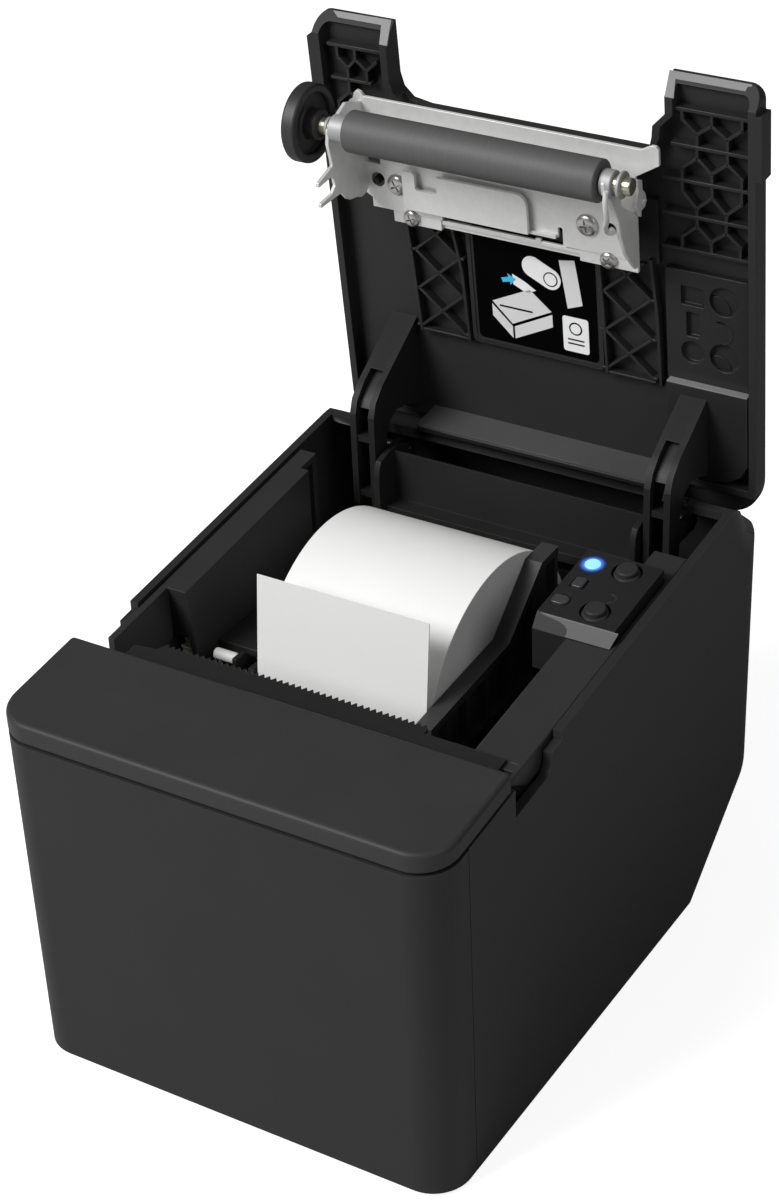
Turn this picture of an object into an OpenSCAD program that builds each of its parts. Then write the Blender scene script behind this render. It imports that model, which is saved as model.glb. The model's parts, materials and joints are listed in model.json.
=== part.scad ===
// Clamshell receipt printer with its roll cover open: a moulded casing, a drop-in paper bay,
// a cutter under a sliding front cover, and a hinged lid that carries the platen roller.
// +X is to the right seen from the front, +Y to the back, +Z up; z = 0 is the surface it stands on.

/* [Body] */
// Width of the casing
body_w = 140; // [130:1:150]
// Depth of the casing, front panel to rear wall
body_d = 199; // [190:1:210]
// Height of the rubber feet
foot_h = 1.5; // [1:0.5:3]
// Thickness of the moulded walls
wall = 2.6; // [2:0.1:3.2]
// Radius of the upright corners at the front
front_r = 11.5; // [10:0.5:16]
// Radius of the upright corners at the back
rear_r = 16; // [12:0.5:20]
// Height of the casing's rim, carried forward to the front face
rim_front_z = 110.4; // [105:0.1:116]
// Rise of the rim for each millimetre towards the back
rim_slope = 0.12; // [0.08:0.01:0.16]

/* [Front cover] */
// Height of the cover above the rim
cover_rise = 6.6; // [5:0.1:9]
// Depth of the cover, front to back
cover_d = 37.8; // [34:0.1:42]
// Space between the moving cover and the parts around it
seam_gap = 0.3; // [0.2:0.05:0.5]

/* [Lid] */
// Distance of the hinge axis behind the middle of the body
hinge_y = 76.3; // [74:0.1:78]
// Height of the hinge axis
hinge_z = 121; // [119:0.1:123]
// Angle that the lid swings from closed to open
lid_swing = 91; // [85:1:95]
// Length of the lid from the hinge axis to its front edge
lid_len = 134.4; // [132:0.1:137]
// Depth of the paper opening between the lid's two ears
notch_len = 23.9; // [18:0.1:26]
// Thickness of the lid at its edge
lid_h = 6.7; // [6:0.1:8]
// Height of the lid's lower edge above the hinge axis
lid_base = 10.75; // [10.5:0.05:11]

/* [Paper] */
// Width of the paper roll
paper_w = 57.8; // [57:0.1:58]
// Radius of the paper roll
roll_r = 42.3; // [30:0.1:42.3]
// Middle of the paper path, to the right of the middle of the body
paper_x = -11.1; // [-12:0.1:-10]
// Thickness of the loose paper
sheet_t = 0.3; // [0.2:0.05:0.4]

/* [Platen] */
// Radius of the rubber roller
platen_r = 6; // [5:0.1:7]
// Length of the rubber roller
platen_w = 80; // [79:0.5:82]
// Radius of its steel shaft
shaft_r = 2.5; // [2:0.1:3]
// Radius of the drive wheel on the shaft
wheel_r = 11.3; // [10:0.1:12]
// Distance of the roller from the hinge axis, along the lid
platen_v = 112.1; // [111:0.1:113]
// Depth of the roller below the hinge axis, square to the lid
platen_drop = 9.55; // [9:0.05:10]

/* [Controls] */
// Radius of the round buttons
button_r = 4.2; // [3.6:0.1:5]
// Height of the control block above the rim
panel_rise = 2.5; // [2:0.1:3]

/* [Fit] */
// Radial clearance of the running shafts and pins
run_gap = 0.05; // [0.02:0.01:0.1]
// Module of the gear teeth
gear_module = 0.8; // [0.6:0.1:1]

/* [Hidden] */
$fn = 48;
half_w = body_w / 2;
front_y = -body_d / 2;
back_y = body_d / 2;
cover_y = front_y + cover_d;
slope_deg = atan(rim_slope);
seam_y = front_y + 15;
rim_end_y = 72;
in_x = half_w - wall;
charcoal = [0.20, 0.20, 0.205];
dark = [0.13, 0.13, 0.135];
steel = [0.74, 0.75, 0.76];
cream = [0.82, 0.80, 0.70];
paper_white = [0.93, 0.93, 0.92];
board_green = [0.09, 0.32, 0.20];
black = [0.05, 0.05, 0.055];

// Connectors: middle across the body, height, then width and height of the window in their plate
recess_y = 71.9;
recess_lean = 0.36;
port_z = 29;
drawer_z = 48;
windows = [[-32, port_z, 15.6, 16.4], [-6, port_z, 13.6, 12.4], [25, port_z, 33.2, 13.2],
        [-32, drawer_z, 13.6, 11.6]];

// Paper roll and bay
roll_y = 23.6;
roll_z = 80.6;
bay_r = 42.9;
bay_left = -42;
bay_right = 51.4;
slot_gap = 0.3;
paper_left = paper_x - paper_w / 2;
paper_right = paper_x + paper_w / 2;
div_x = paper_right + 0.3;
sheet_y = roll_y - roll_r - 0.3;

// Lid frame of reference: origin on the hinge axis, y along the lid with its front at -lid_len
lid_top = lid_base + lid_h;
lid_skin = 2.2;
lid_rear = 5.8;
lid_end = -5;
notch_left = -44.9;
notch_right = 42.9;
platen_x = -6;
platen_left = platen_x - platen_w / 2;
platen_right = platen_x + platen_w / 2;
plate_t = 1.2;
web_z = 5;
pin_r = 1.6;
lug_r = 3;
left_plate_x = -52;
right_plate_x = 35.4;

// Pin on the left that guides the lid's left bracket
latch_y = -17.8;
latch_z = 95.4;

// Control block
panel_x0 = 41;
panel_x1 = 65;
panel_y0 = 4.6;
panel_y1 = 35.3;
button_x = 56;
feed_y = 10.6;
power_y = 30.0;
lid_key_y = [-64.2, -44.8];
lid_key_r = 3.6;

// Gears on the left side of the paper bay
drive_teeth = 30;
pinion_teeth = 12;
drive_y = -10.3;
drive_z = 88;
gear_x = -65.2;
gear_w = 3.6;
pinion_dist = gear_module * (drive_teeth + pinion_teeth) / 2 + 0.1;
pinion_deg = -21;
pinion_y = drive_y + pinion_dist * cos(pinion_deg);
pinion_z = drive_z + pinion_dist * sin(pinion_deg);

// Cutter: a knife with a rack along its right edge, driven by a pinion above it
knife_z = 103.8;
cut_teeth = 10;
cut_module = 0.8;
cut_x = 44;
cut_y = -73;
rack_z = 106.6;
cut_z = rack_z + cut_module * cut_teeth / 2 + 0.1;

// ---------------------------------------------------------------- helpers

// Height of the casing's rim plane at a distance y behind the middle
function rim_z(y) = rim_front_z + rim_slope * (y - front_y);

// Points of an arc in the plane, centre c, radius r, from angle a to b in n steps
function arc(c, r, a, b, n) = [for (i = [0:n]) c + r * [cos(a + (b - a) * i / n), sin(a + (b - a) * i / n)]];

// Lay a drawing of Y (its x) and Z (its y) across the body between two X positions
module across(x0, x1) {
    translate([x0, 0, 0]) rotate([90, 0, 90]) linear_extrude(x1 - x0) children();
}

// The same drawing on both sides of the body
module both_sides(x0, x1) {
    for (s = [-1, 1]) across(min(s * x0, s * x1), max(s * x0, s * x1)) children();
}

// A cylinder along X
module rod(x0, x1, r, y, z) {
    translate([x0, y, z]) rotate([0, 90, 0]) cylinder(r = r, h = x1 - x0);
}

// A box given by its two corners
module block(a, b) {
    translate(a) cube(b - a);
}

// A rectangle with one radius at its low-y corners and another at its high-y corners
module plan(x0, x1, y0, y1, r0, r1) {
    translate([x0, y0 + r0]) square([x1 - x0, y1 - y0 - r0 - r1]);
    translate([x0 + r0, y0]) square([x1 - x0 - 2 * r0, r0 + 0.01]);
    translate([x0 + r1, y1 - r1 - 0.01]) square([x1 - x0 - 2 * r1, r1 + 0.01]);
    for (x = [x0 + r0, x1 - r0]) translate([x, y0 + r0]) circle(r0);
    for (x = [x0 + r1, x1 - r1]) translate([x, y1 - r1]) circle(r1);
}

// Put a piece given in the lid's own frame where the open lid holds it
module on_lid() {
    translate([0, hinge_y, hinge_z]) rotate([slope_deg - lid_swing, 0, 0]) children();
}

// A spur gear along X with slim straight-sided teeth
module gear(x0, x1, teeth, m, bore_r, turn = 0) {
    r = m * teeth / 2;
    rotate([90, 0, 90]) translate([0, 0, x0]) linear_extrude(x1 - x0) rotate(turn) difference() {
        union() {
            circle(r - 1.1 * m);
            for (i = [0:teeth - 1]) rotate(i * 360 / teeth)
                polygon([[r - 1.3 * m, -0.95 * m], [r, -0.62 * m], [r + 0.8 * m, -0.28 * m],
                         [r + 0.8 * m, 0.28 * m], [r, 0.62 * m], [r - 1.3 * m, 0.95 * m]]);
        }
        circle(bore_r);
    }
}

// A cross-recessed pan-head screw, its head's seat at the origin and its thread along -Z
module screw(head_r, thread_r, len) {
    difference() {
        union() {
            cylinder(r = head_r, h = 1.4);
            translate([0, 0, -len]) cylinder(r = thread_r, h = len + 0.1);
        }
        for (a = [0, 90]) rotate(a) translate([-head_r * 0.5, -0.4, 0.7]) cube([head_r, 0.8, 1]);
    }
}

// ---------------------------------------------------------------- casing

shoulder_c = [73.7, 99.9];
shoulder_r = 25.8;
shoulder = arc(shoulder_c, shoulder_r, 0, 59, 8);
heel_x = 48;

// Side view of the casing, from the floor to a plane `up` above its rim: the middle reaches lower at
// the back, round the connectors, than the sides do
module side_view(up = 0, middle = true) {
    heel = middle ? [[61.5, foot_h], [94.2, 27]] : [[49.9, foot_h], [94.7, 37.6]];
    polygon(concat([[front_y, foot_h]], heel, shoulder,
                   [[rim_end_y, rim_z(rim_end_y) + up], [front_y, rim_z(front_y) + up]]));
}

// The casing's outer form, or the same form set inwards by a wall
module casing_block(inset) {
    intersection() {
        union() {
            across(-heel_x + inset, heel_x - inset) offset(delta = -inset) side_view();
            across(-half_w + inset, half_w - inset) offset(delta = -inset) side_view(0, false);
        }
        // upright corners, then the same corners carried round the shoulder
        linear_extrude(160) plan(-half_w + inset, half_w - inset, front_y + inset, back_y - inset,
                                 front_r - inset, rear_r - inset);
        for (turn = [[30, 15], [59, 12]])
            translate([0, shoulder_c[0], shoulder_c[1]]) rotate([turn[0], 0, 0]) translate([0, 0, -300])
                    linear_extrude(600)
                plan(-half_w + inset, half_w - inset, -300, shoulder_r - inset, 2, turn[1] - inset);
    }
}

// Hollow at the back in front of the connectors, from the side
module recess_view(deep = 0, high = 0) {
    polygon([[recess_y - deep, 4], [112, 4], [112, 58 + high], [recess_y + recess_lean * (54 + high)
            - deep, 58 + high]]);
}

module casing() {
    color(charcoal) difference() {
        union() {
            difference() {
                casing_block(0);
                casing_block(wall);
            }
            intersection() {
                casing_block(0.2);
                across(-48, 48) recess_view(2, 2);
            }
            // bosses for the pins that hold the rear of the base
            for (s = [-1, 1]) intersection() {
                casing_block(0.2);
                block([s * 61 - 4, 50.4, 2], [s * 61 + 4, 58, 14]);
            }
        }
        // open underside, open top and the front, where the front panel closes it
        linear_extrude(foot_h + wall + 1) {
            plan(-in_x, in_x, front_y, 49, 2, 2);
            plan(-45, 45, 30, 58, 2, 2);
        }
        across(-in_x, in_x) polygon([[front_y, 100], [69.4, 118], [69.4, 150], [front_y, 150]]);
        block([-90, front_y - 1, -1], [90, seam_y + seam_gap / 2, 160]);
        // rear rim left open between the hinge arms, and room for the hinge lugs under the shoulder
        block([-55.4, 69, 124], [55.4, 72.6, 150]);
        block([-43.4, 69, 122], [43.4, 82, 150]);
        rod(-57, 57, lug_r + 0.4, hinge_y, hinge_z);
        // finger notches beside the front corners of the lid
        across(-90, 90) polygon(concat([[-60.3, 160], [-60.3, 106.2], [-46.5, 107.9]],
                                       arc([-45, 112.2], 4.3, -90, 0, 5),
                                       [[-40.7, 114.5], [-35.2, 115.2], [-35.2, 160]]));
        // recess for the connectors, and the rocker switch at the left
        across(-46, 46) recess_view(4);
        block([-90, -72, 31], [-60, -52, 45]);
    }
}

module front_panel() {
    color(charcoal) {
        difference() {
            intersection() {
                across(-half_w, half_w) side_view(-seam_gap);
                linear_extrude(160) plan(-half_w, half_w, front_y, back_y, front_r, rear_r);
                block([-half_w, front_y, 0], [half_w, seam_y - seam_gap / 2, 160]);
            }
            translate([0, 0, foot_h + 3]) linear_extrude(160)
                plan(-in_x, in_x, front_y + wall, back_y, front_r - wall, 2);
            linear_extrude(8) plan(-in_x + 3, in_x - 3, front_y + wall + 3, back_y, front_r - wall - 3, 2);
        }
        // tongues that hook behind the casing's side walls
        for (s = [-1, 1], z = [22, 58, 92]) {
            translate([s * (in_x - 0.9), seam_y - 2.6, z]) cube([2.2, 4, 8], center = true);
            translate([s * (in_x - 1.25), seam_y + 1, z]) cube([2, 7, 8], center = true);
        }
    }
}

module tray_plan(inset = 0) {
    plan(-in_x + 0.3 + inset, in_x - 0.3 - inset, seam_y + 0.3 + inset, 48.7 - inset, 2, 2);
    plan(-44.7 + inset, 44.7 - inset, 20, 57.7 - inset, 2, 2);
    plan(-in_x + 3.3 + inset, in_x - 3.3 - inset, front_y + wall + 3.3 + inset, 0, front_r - wall - 3.3, 2);
}

module base_tray() {
    bosses = [for (x = [-44, 44], y = [-62, 40]) [x, y, foot_h + 0.2]];
    color(dark) difference() {
        union() {
            translate([0, 0, foot_h + 0.2]) linear_extrude(2.8) tray_plan();
            translate([0, 0, foot_h + 0.2]) linear_extrude(7) difference() {
                tray_plan(3);
                tray_plan(5);
            }
            for (p = bosses) translate(p) cylinder(r = 4, h = 16);
            for (x = [-36, 36], y = [-20, 36]) translate([x, y, foot_h + 0.2]) cylinder(r = 3.2, h = 8.3);
        }
        for (p = bosses) translate([p[0], p[1], 0]) cylinder(r = 1.5, h = 14);
        // grid of cooling slots
        for (i = [-3:3]) block([i * 12 - 4, -24, 0], [i * 12 + 4, -21, 8]);
    }
}

module rubber_feet() {
    color(black) for (x = [-56, 56], y = [-70, 40]) translate([x, y, 0]) cylinder(r = 6, h = foot_h + 0.2);
}

module connector_plate() {
    // steel plate that closes the recess at the back and carries the connectors
    color(steel) difference() {
        intersection() {
            across(-46, 46) difference() {
                recess_view(1.5);
                recess_view();
            }
            casing_block(0.3);
            block([-50, 60, 8], [50, 100, 58]);
        }
        for (w = windows) port_at(w[1]) block([w[0] - w[2] / 2, -w[3] / 2, -9],
                [w[0] + w[2] / 2, w[3] / 2, 9]);
    }
}

module port_at(z) {
    // a connector's own frame, with +Z out of the printer, on the slanted plate
    translate([0, recess_y + recess_lean * (z - 4), z]) rotate([atan(recess_lean) - 90, 0, 0]) children();
}

module power_inlet() {
    color(black) port_at(port_z) translate([-32, 0, 0]) difference() {
        block([-7.6, -8, -13], [7.6, 8, 1.2]);
        translate([0, 0, -10]) cylinder(r = 6, h = 20);
    }
}

module usb_port() {
    color(steel) port_at(port_z) translate([-6, 0, 0]) difference() {
        block([-6.6, -6, -14], [6.6, 6, 1]);
        difference() {
            block([-5.6, -5, -11], [5.6, 5, 2]);
            block([-2.6, -1.6, -12], [2.6, 1.6, -2]);
        }
    }
}

module serial_port() {
    color(steel) port_at(port_z) translate([25, 0, 0]) difference() {
        block([-16.4, -6.4, -9], [16.4, 6.4, 1]);
        block([-8.6, -4.2, -5], [8.6, 4.2, 2]);
        for (x = [-12.5, 12.5]) translate([x, 0, -6]) cylinder(r = 1.6, h = 9);
    }
}

module drawer_port() {
    color(black) port_at(drawer_z) translate([-32, 0, 0]) difference() {
        block([-6.6, -5.6, -13], [6.6, 5.6, 1]);
        block([-4.8, -4, -10], [4.8, 4, 2]);
    }
}

module switch_frame() {
    color(black) difference() {
        block([-half_w - 0.6, -71.7, 31.3], [-56, -52.3, 44.7]);
        block([-half_w - 2, -70, 33], [-58, -54, 43]);
        translate([-65.5, -80, 38]) rotate([-90, 0, 0]) cylinder(r = 1 + run_gap, h = 40);
    }
}

module power_switch() {
    // rocker on a pin that lies along Y
    color(black) translate([-65.5, -62, 38]) {
        intersection() {
            rotate([90, 0, 0]) cylinder(r = 6.6, h = 15.2, center = true, $fn = 64);
            rotate([0, -7, 0]) cube([11, 15.2, 8], center = true);
        }
        rotate([90, 0, 0]) cylinder(r = 1, h = 18.4, center = true);
    }
}

module case_screws() {
    color(steel) {
        for (x = [-44, 44], y = [-62, 40]) translate([x, y, foot_h + 0.2]) rotate([180, 0, 0])
                screw(3, 1.4, 12);
    }
}

// ---------------------------------------------------------------- front cover, cutter and head

module front_cover() {
    top = cover_rise;
    color(charcoal) difference() {
        intersection() {
            across(-half_w, half_w) polygon([[front_y, rim_z(front_y) + seam_gap], [cover_y, rim_z(cover_y)
                    + seam_gap],
                                             [cover_y, rim_z(cover_y) + top], [front_y, rim_z(front_y)
                                                     + top]]);
            linear_extrude(160) plan(-half_w, half_w, front_y, back_y, front_r, rear_r);
        }
        intersection() {
            across(-in_x, in_x) polygon([[front_y, 90], [cover_y + 5, 90], [cover_y + 5, rim_z(cover_y + 5)
                    + top - 2.2],
                                         [front_y, rim_z(front_y) + top - 2.2]]);
            linear_extrude(160) plan(-in_x, in_x, front_y + wall, back_y, front_r - wall, 2);
        }
    }
}

module tear_bar() {
    // shelf behind the cover's rear edge, with the saw edge that the paper is torn on
    saw_y = -47.5;
    pitch = 2;
    saw_x0 = -49;
    teeth = 43;
    root_y = saw_y - 1.4;
    color(dark) translate([0, 0, rim_z(0) - 1.2]) rotate([slope_deg, 0, 0]) linear_extrude(1.2)
        polygon(concat([[-57, -66], [62, -66], [62, saw_y - 3.4], [saw_x0 + teeth * pitch, saw_y - 3.4]],
                       [for (i = [teeth - 1:-1:0]) each [[saw_x0 + (i + 0.95) * pitch, root_y],
                                                         [saw_x0 + (i + 0.5) * pitch, saw_y]]],
                       [[saw_x0, root_y], [saw_x0 - 1, saw_y - 3], [-57, saw_y - 4]]));
    // posts down to the cutter's frame
    for (x = [-53, 49]) color(dark) block([x, -65.6, 102], [x + 3, -60, 113.4]);
}

module cutter_frame() {
    color(steel) difference() {
        union() {
            block([-56, -84, 90], [52, -82.5, 110]);
            block([-56, -84, 100.5], [52, -62, 102]);
            for (x = [-56, 50.5]) block([x, -84, 84], [x + 1.5, -52, 102]);
            block([46.6, -84, 101.9], [48.4, -67, 115]);
        }
        for (x = [-40, 0]) translate([x, -73, 90]) cylinder(r = 3, h = 20);
        rod(46, 49, 1 + run_gap, cut_y, cut_z);
    }
}

module fixed_blade() {
    color(steel) block([-49, -59.6, 102.1], [42, -47.4, 103.1]);
}

module cutter_knife() {
    pitch = PI * cut_module;
    color(steel) {
        // V-shaped knife that shears over the fixed blade
        translate([0, 0, knife_z]) linear_extrude(0.9)
            polygon([[-49, -79], [cut_x + 2, -81], [cut_x + 2, -64.6], [38, -64.6], [38, -60],
                    [-6, -65.5], [-49, -60]]);
        // its rack, teeth upwards
        across(cut_x - 2, cut_x + 2) {
            translate([-81, knife_z + 0.8]) square([16.4, rack_z - 1.1 * cut_module - knife_z - 0.8]);
            for (i = [0:5]) translate([cut_y + (i - 2.5) * pitch, rack_z])
                polygon([[-0.76, -1], [-0.5, 0], [-0.22, 0.64], [0.22, 0.64], [0.5, 0], [0.76, -1]]);
        }
    }
}

module cutter_pinion() {
    color(cream) translate([0, cut_y, cut_z]) union() {
        gear(cut_x - 2.2, cut_x + 2.2, cut_teeth, cut_module, 0, -90);
        rod(cut_x - 8, cut_x + 6, 1, 0, 0);
    }
}

module cutter_motor() {
    color(steel) difference() {
        rod(cut_x - 40, cut_x - 4, 5.6, cut_y, cut_z);
        rod(cut_x - 9, cut_x - 3, 1 + run_gap, cut_y, cut_z);
    }
}

module head_bracket() {
    color(steel) union() {
        block([-48, -54, 60], [36, -52.5, 99]);
        block([-48, -54, 60], [36, -44, 61.5]);
        for (x = [-52, 38]) block([x, -54, 60], [x + 1.5, -42, 99]);
    }
}

module thermal_head() {
    color([0.55, 0.56, 0.58]) {
        block([-47, -50.5, 74], [35, -44, 98.5]);
        block([-46, -44.2, 86], [34, -40.6, 98.5]);
    }
}

module head_springs() {
    color(steel) for (x = [-36, -6, 24]) translate([x, -52.4, 90]) rotate([-90, 0, 0])
        rotate_extrude() translate([2.2, 0]) square([0.7, 1.8]);
}

// ---------------------------------------------------------------- paper bay

module roll_tray() {
    color(dark) difference() {
        union() {
            // trough under the roll
            across(bay_left, bay_right) difference() {
                union() {
                    translate([roll_y, roll_z]) circle(bay_r + 2.4, $fn = 120);
                    translate([roll_y, roll_z]) square([bay_r + 2.4, 18]);
                }
                translate([roll_y, roll_z]) circle(bay_r, $fn = 120);
                translate([roll_y - 90, roll_z]) square([90 + bay_r, 90]);
                translate([roll_y - 90, 56]) square([66, 60]);
            }
            // its left and right cheeks
            across(bay_left, bay_left + 1.6) intersection() {
                translate([roll_y, roll_z]) circle(bay_r + 2.4, $fn = 120);
                translate([-60, 30]) square([120, 64.6]);
            }
            across(bay_right - 1.6, bay_right)
                polygon([[-28, 56], [-28, 108], [1, 112], [1, 96], [46, 96], [46, 56]]);
            // ledge behind the roll and the upstand between the hinges
            across(-43, 43) polygon([[59.8, 106], [68, 106], [68, 124.6], [66, 125.4], [65.6, 109.1],
                    [59.8, 109.1]]);
        }
        // slot that the divider's foot drops into
        block([div_x - slot_gap, roll_y - 6 - slot_gap, 30],
                [div_x + 2.2 + slot_gap, roll_y + 6 + slot_gap, 45]);
    }
}

module left_guide() {
    color(dark) difference() {
        block([-58, -11, 74], [bay_left - 0.1, 47, 95]);
        block([-56.4, -9.4, 70], [bay_left - 1.6, 45.4, 93]);
        rod(-60, -50, 1.4, pinion_y, pinion_z);
    }
}

module divider() {
    top_pts = [[-36, 96.6], [19.5, 100.8], [39.5, 117.5], [49.5, 118]];
    cap_pts = [[49.5, 115.4], [40.4, 115.1], [20.4, 98.2], [-36, 94]];
    color(dark) difference() {
        union() {
            // plate, its cap along the top and stiffening ribs on the far side
            across(div_x, div_x + 2.2) polygon(concat(top_pts, [[51, 104], [62, 96]],
                                                      arc([roll_y, roll_z], bay_r - 0.5, 17, -160, 24),
                                                              [[-36, 90]]));
            across(div_x, div_x + 5.4) polygon(concat(top_pts, cap_pts));
            across(div_x + 2, div_x + 5.2) {
                for (y = [-16, -5, 6]) translate([y, 64]) square([1.6, 33]);
                translate([20, 50]) square([1.6, 49]);
                translate([34, 50]) square([1.6, 61]);
                translate([47.9, 70]) square([1.6, 47]);
                translate([-24, 80]) square([73.4, 1.6]);
            }
            // foot in the trough's slot
            block([div_x, roll_y - 6, roll_z - bay_r - 3], [div_x + 2.2, roll_y + 6, roll_z - bay_r + 2]);
        }
        // clear of the platen and of the head at the front
        across(div_x - 3, div_x + 9) polygon([[-60, 30], [-30, 30], [-25.4, 56], [-25.4, 99], [-60, 120]]);
        // and of the ledge at the back as it lifts
        block([div_x - 3, 59.3, 60], [div_x + 9, 90, 120]);
    }
}

module paper_roll() {
    color(paper_white) difference() {
        rod(paper_left, paper_right, roll_r, roll_y, roll_z, $fn = 120);
        rod(paper_left - 1, paper_right + 1, 8.5, roll_y, roll_z);
    }
}

module roll_core() {
    color([0.62, 0.52, 0.40]) difference() {
        rod(paper_left, paper_right, 8.5, roll_y, roll_z);
        rod(paper_left - 1, paper_right + 1, 6.5, roll_y, roll_z);
    }
}

module paper_sheet() {
    // loose end of the paper, standing up in front of the roll
    color(paper_white) across(paper_left + 0.3, paper_right - 0.3)
        polygon([[sheet_y, 82], [sheet_y + 4.7, 124.6], [sheet_y + 4.7 - sheet_t, 124.6],
                [sheet_y - sheet_t, 82]]);
}

module left_housing() {
    top = -1;
    color(dark) difference() {
        union() {
            across(-66.8, -58.3) polygon([[-21.3, 62], [-21.3, 97], [-24.6, rim_z(-24.6) + top],
                    [50.2, rim_z(50.2) + top], [50.2, 62]]);
            // rail that closes the finger notch
            across(-66.8, -64.6) polygon([[-50.6, 92], [-50.6, rim_z(-50.6) + top],
                    [-24, rim_z(-24) + top], [-24, 92]]);
        }
        across(-68, -60) polygon([[-19.4, 50], [-19.4, 97], [-22.6, rim_z(-22.6) + top - 2],
                                  [48.2, rim_z(48.2) + top - 2], [48.2, 50]]);
        block([-70, -26, 78], [-60.6, -18, 101]);
        // step at the rear of its top
        block([-61.2, 41.6, 90], [-58, 60, 140]);
        rod(-62, -50, 1.6, pinion_y, pinion_z);
        rod(-62, -50, 1.6 + run_gap, drive_y, drive_z);
    }
}

module latch_pin() {
    // fixed pin that the fork of the lid's left bracket straddles, on its post
    color([0.80, 0.80, 0.81]) union() {
        rod(-54.5, -45.4, 1.5, latch_y, latch_z);
        rod(-50, -45.4, 3, latch_y, latch_z);
        across(-47, -45.4) polygon([[-20, 62], [-11.3, 62], [-11.3, 93], [latch_y + 2.6, latch_z + 1.6],
                                    [latch_y - 2.6, latch_z + 1.6], [-20.4, latch_z]]);
    }
}

module drive_gear() {
    color(cream) translate([0, drive_y, drive_z]) union() {
        gear(gear_x, gear_x + gear_w, drive_teeth, gear_module, 0, pinion_deg + 180 / drive_teeth);
        rod(gear_x, -58.2, 1.6, 0, 0);
    }
}

module motor_pinion() {
    color(cream) translate([0, pinion_y, pinion_z]) union() {
        gear(gear_x, gear_x + gear_w, pinion_teeth, gear_module, 0, pinion_deg + 180);
        rod(gear_x, -57, 1.1, 0, 0);
    }
}

module feed_motor() {
    color(steel) difference() {
        rod(-56.2, -44, 9, pinion_y, pinion_z);
        rod(-58, -52, 1.1 + run_gap, pinion_y, pinion_z);
    }
}

module right_deck() {
    color(dark) union() {
        // shelf beside the bay, level with the rim, and the rail that carries it back
        across(51.8, 66.8) polygon([[-50.5, rim_z(-50.5) - 1], [1.2, rim_z(1.2) - 1], [1.2, rim_z(1.2)
                - 3], [-50.5, rim_z(-50.5) - 3]]);
        across(51.8, 53.4) polygon([[-46, 62], [-46, rim_z(-46) - 1], [1.2, rim_z(1.2) - 1], [1.2, 62]]);
        across(65.3, 66.8) polygon([[-60, rim_z(-60) - 9], [-60, rim_z(-60) - 1], [47, rim_z(47) - 1],
                [47, rim_z(47) - 9]]);
        across(56.2, 66.8) polygon([[35.8, rim_z(35.8) - 1], [47, rim_z(47) - 1], [47, rim_z(47) - 3],
                [35.8, rim_z(35.8) - 3]]);
    }
}

// ---------------------------------------------------------------- controls

// Put a piece on the control block's sloping top face
module on_panel(x, y, up = 0) {
    translate([x, y, rim_z(y) + panel_rise]) rotate([slope_deg, 0, 0]) translate([0, 0, up]) children();
}

module d_shape(r) {
    difference() {
        circle(r);
        translate([r * 0.55, -r]) square([r, 2 * r]);
    }
}

module control_block() {
    color(dark) difference() {
        across(panel_x0, panel_x1) polygon([[1.5, rim_z(1.5) - 14], [1.5, rim_z(1.5) - 1.2],
                [panel_y0, rim_z(panel_y0) + panel_rise],
                                            [panel_y1, rim_z(panel_y1) + panel_rise],
                                                    [panel_y1, rim_z(panel_y1) - 14]]);
        across(panel_x0 + 1.6, panel_x1 - 1.6)
            polygon([[3.1, 90], [3.1, rim_z(3.1) - 1.6], [5.6, rim_z(5.6) + panel_rise - 1.8],
                     [panel_y1 - 0.8, rim_z(panel_y1 - 0.8) + panel_rise - 1.8], [panel_y1 - 0.8, 90]]);
        for (y = [feed_y, power_y]) on_panel(button_x, y, -5) cylinder(r = button_r + 0.3, h = 10);
        on_panel(45.4, 29.4, -5) cylinder(r = 2.6, h = 10);
        on_panel(46, 20, -5) linear_extrude(10) square([4.6, 4.6], center = true);
        on_panel(45.4, 11.1, -5) linear_extrude(10) d_shape(3.4);
    }
}

module round_button(y) {
    on_panel(button_x, y, -2.2) union() {
        cylinder(r = button_r, h = 3.6);
        translate([0, 0, -0.4]) cube([2 * button_r + 2, 5, 1], center = true);
    }
}

module feed_button() {
    color(dark) round_button(feed_y);
}

module power_button() {
    color(dark) round_button(power_y);
}

module key_switches() {
    color(steel) for (y = [feed_y, power_y]) on_panel(button_x, y, -6.4)
        translate([0, 0, 1.1]) cube([5, 5, 2.2], center = true);
}

module status_lens() {
    color([0.35, 0.85, 1.0]) on_panel(45.4, 29.4, -1.8) cylinder(r = 2.6, h = 2.1);
}

module paper_lens() {
    color(dark) on_panel(46, 20, -1.8) linear_extrude(2.2) square([4.6, 4.6], center = true);
}

module error_lens() {
    color(dark) on_panel(45.4, 11.1, -1.8) linear_extrude(2.2) d_shape(3.4);
}

module panel_board() {
    color(board_green) across(panel_x0 + 1.8, panel_x1 - 1.8)
        polygon([[3.4, rim_z(3.4) - 5.2], [33.4, rim_z(33.4) - 5.2], [33.4, rim_z(33.4) - 4],
                [3.4, rim_z(3.4) - 4]]);
}

// ---------------------------------------------------------------- inside

module hinge_brackets() {
    color(dark) difference() {
        both_sides(43, 45) union() {
            polygon([[57, 106], [57, 119], [57.4, 122.4], [58.6, 124.8], [64, 126.2], [69, 126], [73, 124.6],
                     [hinge_y, hinge_z + lug_r - 0.2], [hinge_y + lug_r - 0.2, hinge_z], [79, 106]]);
            translate([hinge_y, hinge_z]) circle(lug_r);
        }
        rod(-60, 60, pin_r + run_gap, hinge_y, hinge_z);
    }
}

module main_board() {
    color(board_green) union() {
        block([-39.6, -40, 10.1], [39.6, 54, 11.7]);
        for (p = [[-30, -20], [5, -26], [28, 0]]) block([p[0], p[1], 11.6], [p[0] + 14, p[1] + 14, 13.8]);
        for (x = [-34, -26]) translate([x, 34, 11.6]) cylinder(r = 3.4, h = 12);
    }
}

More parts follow.
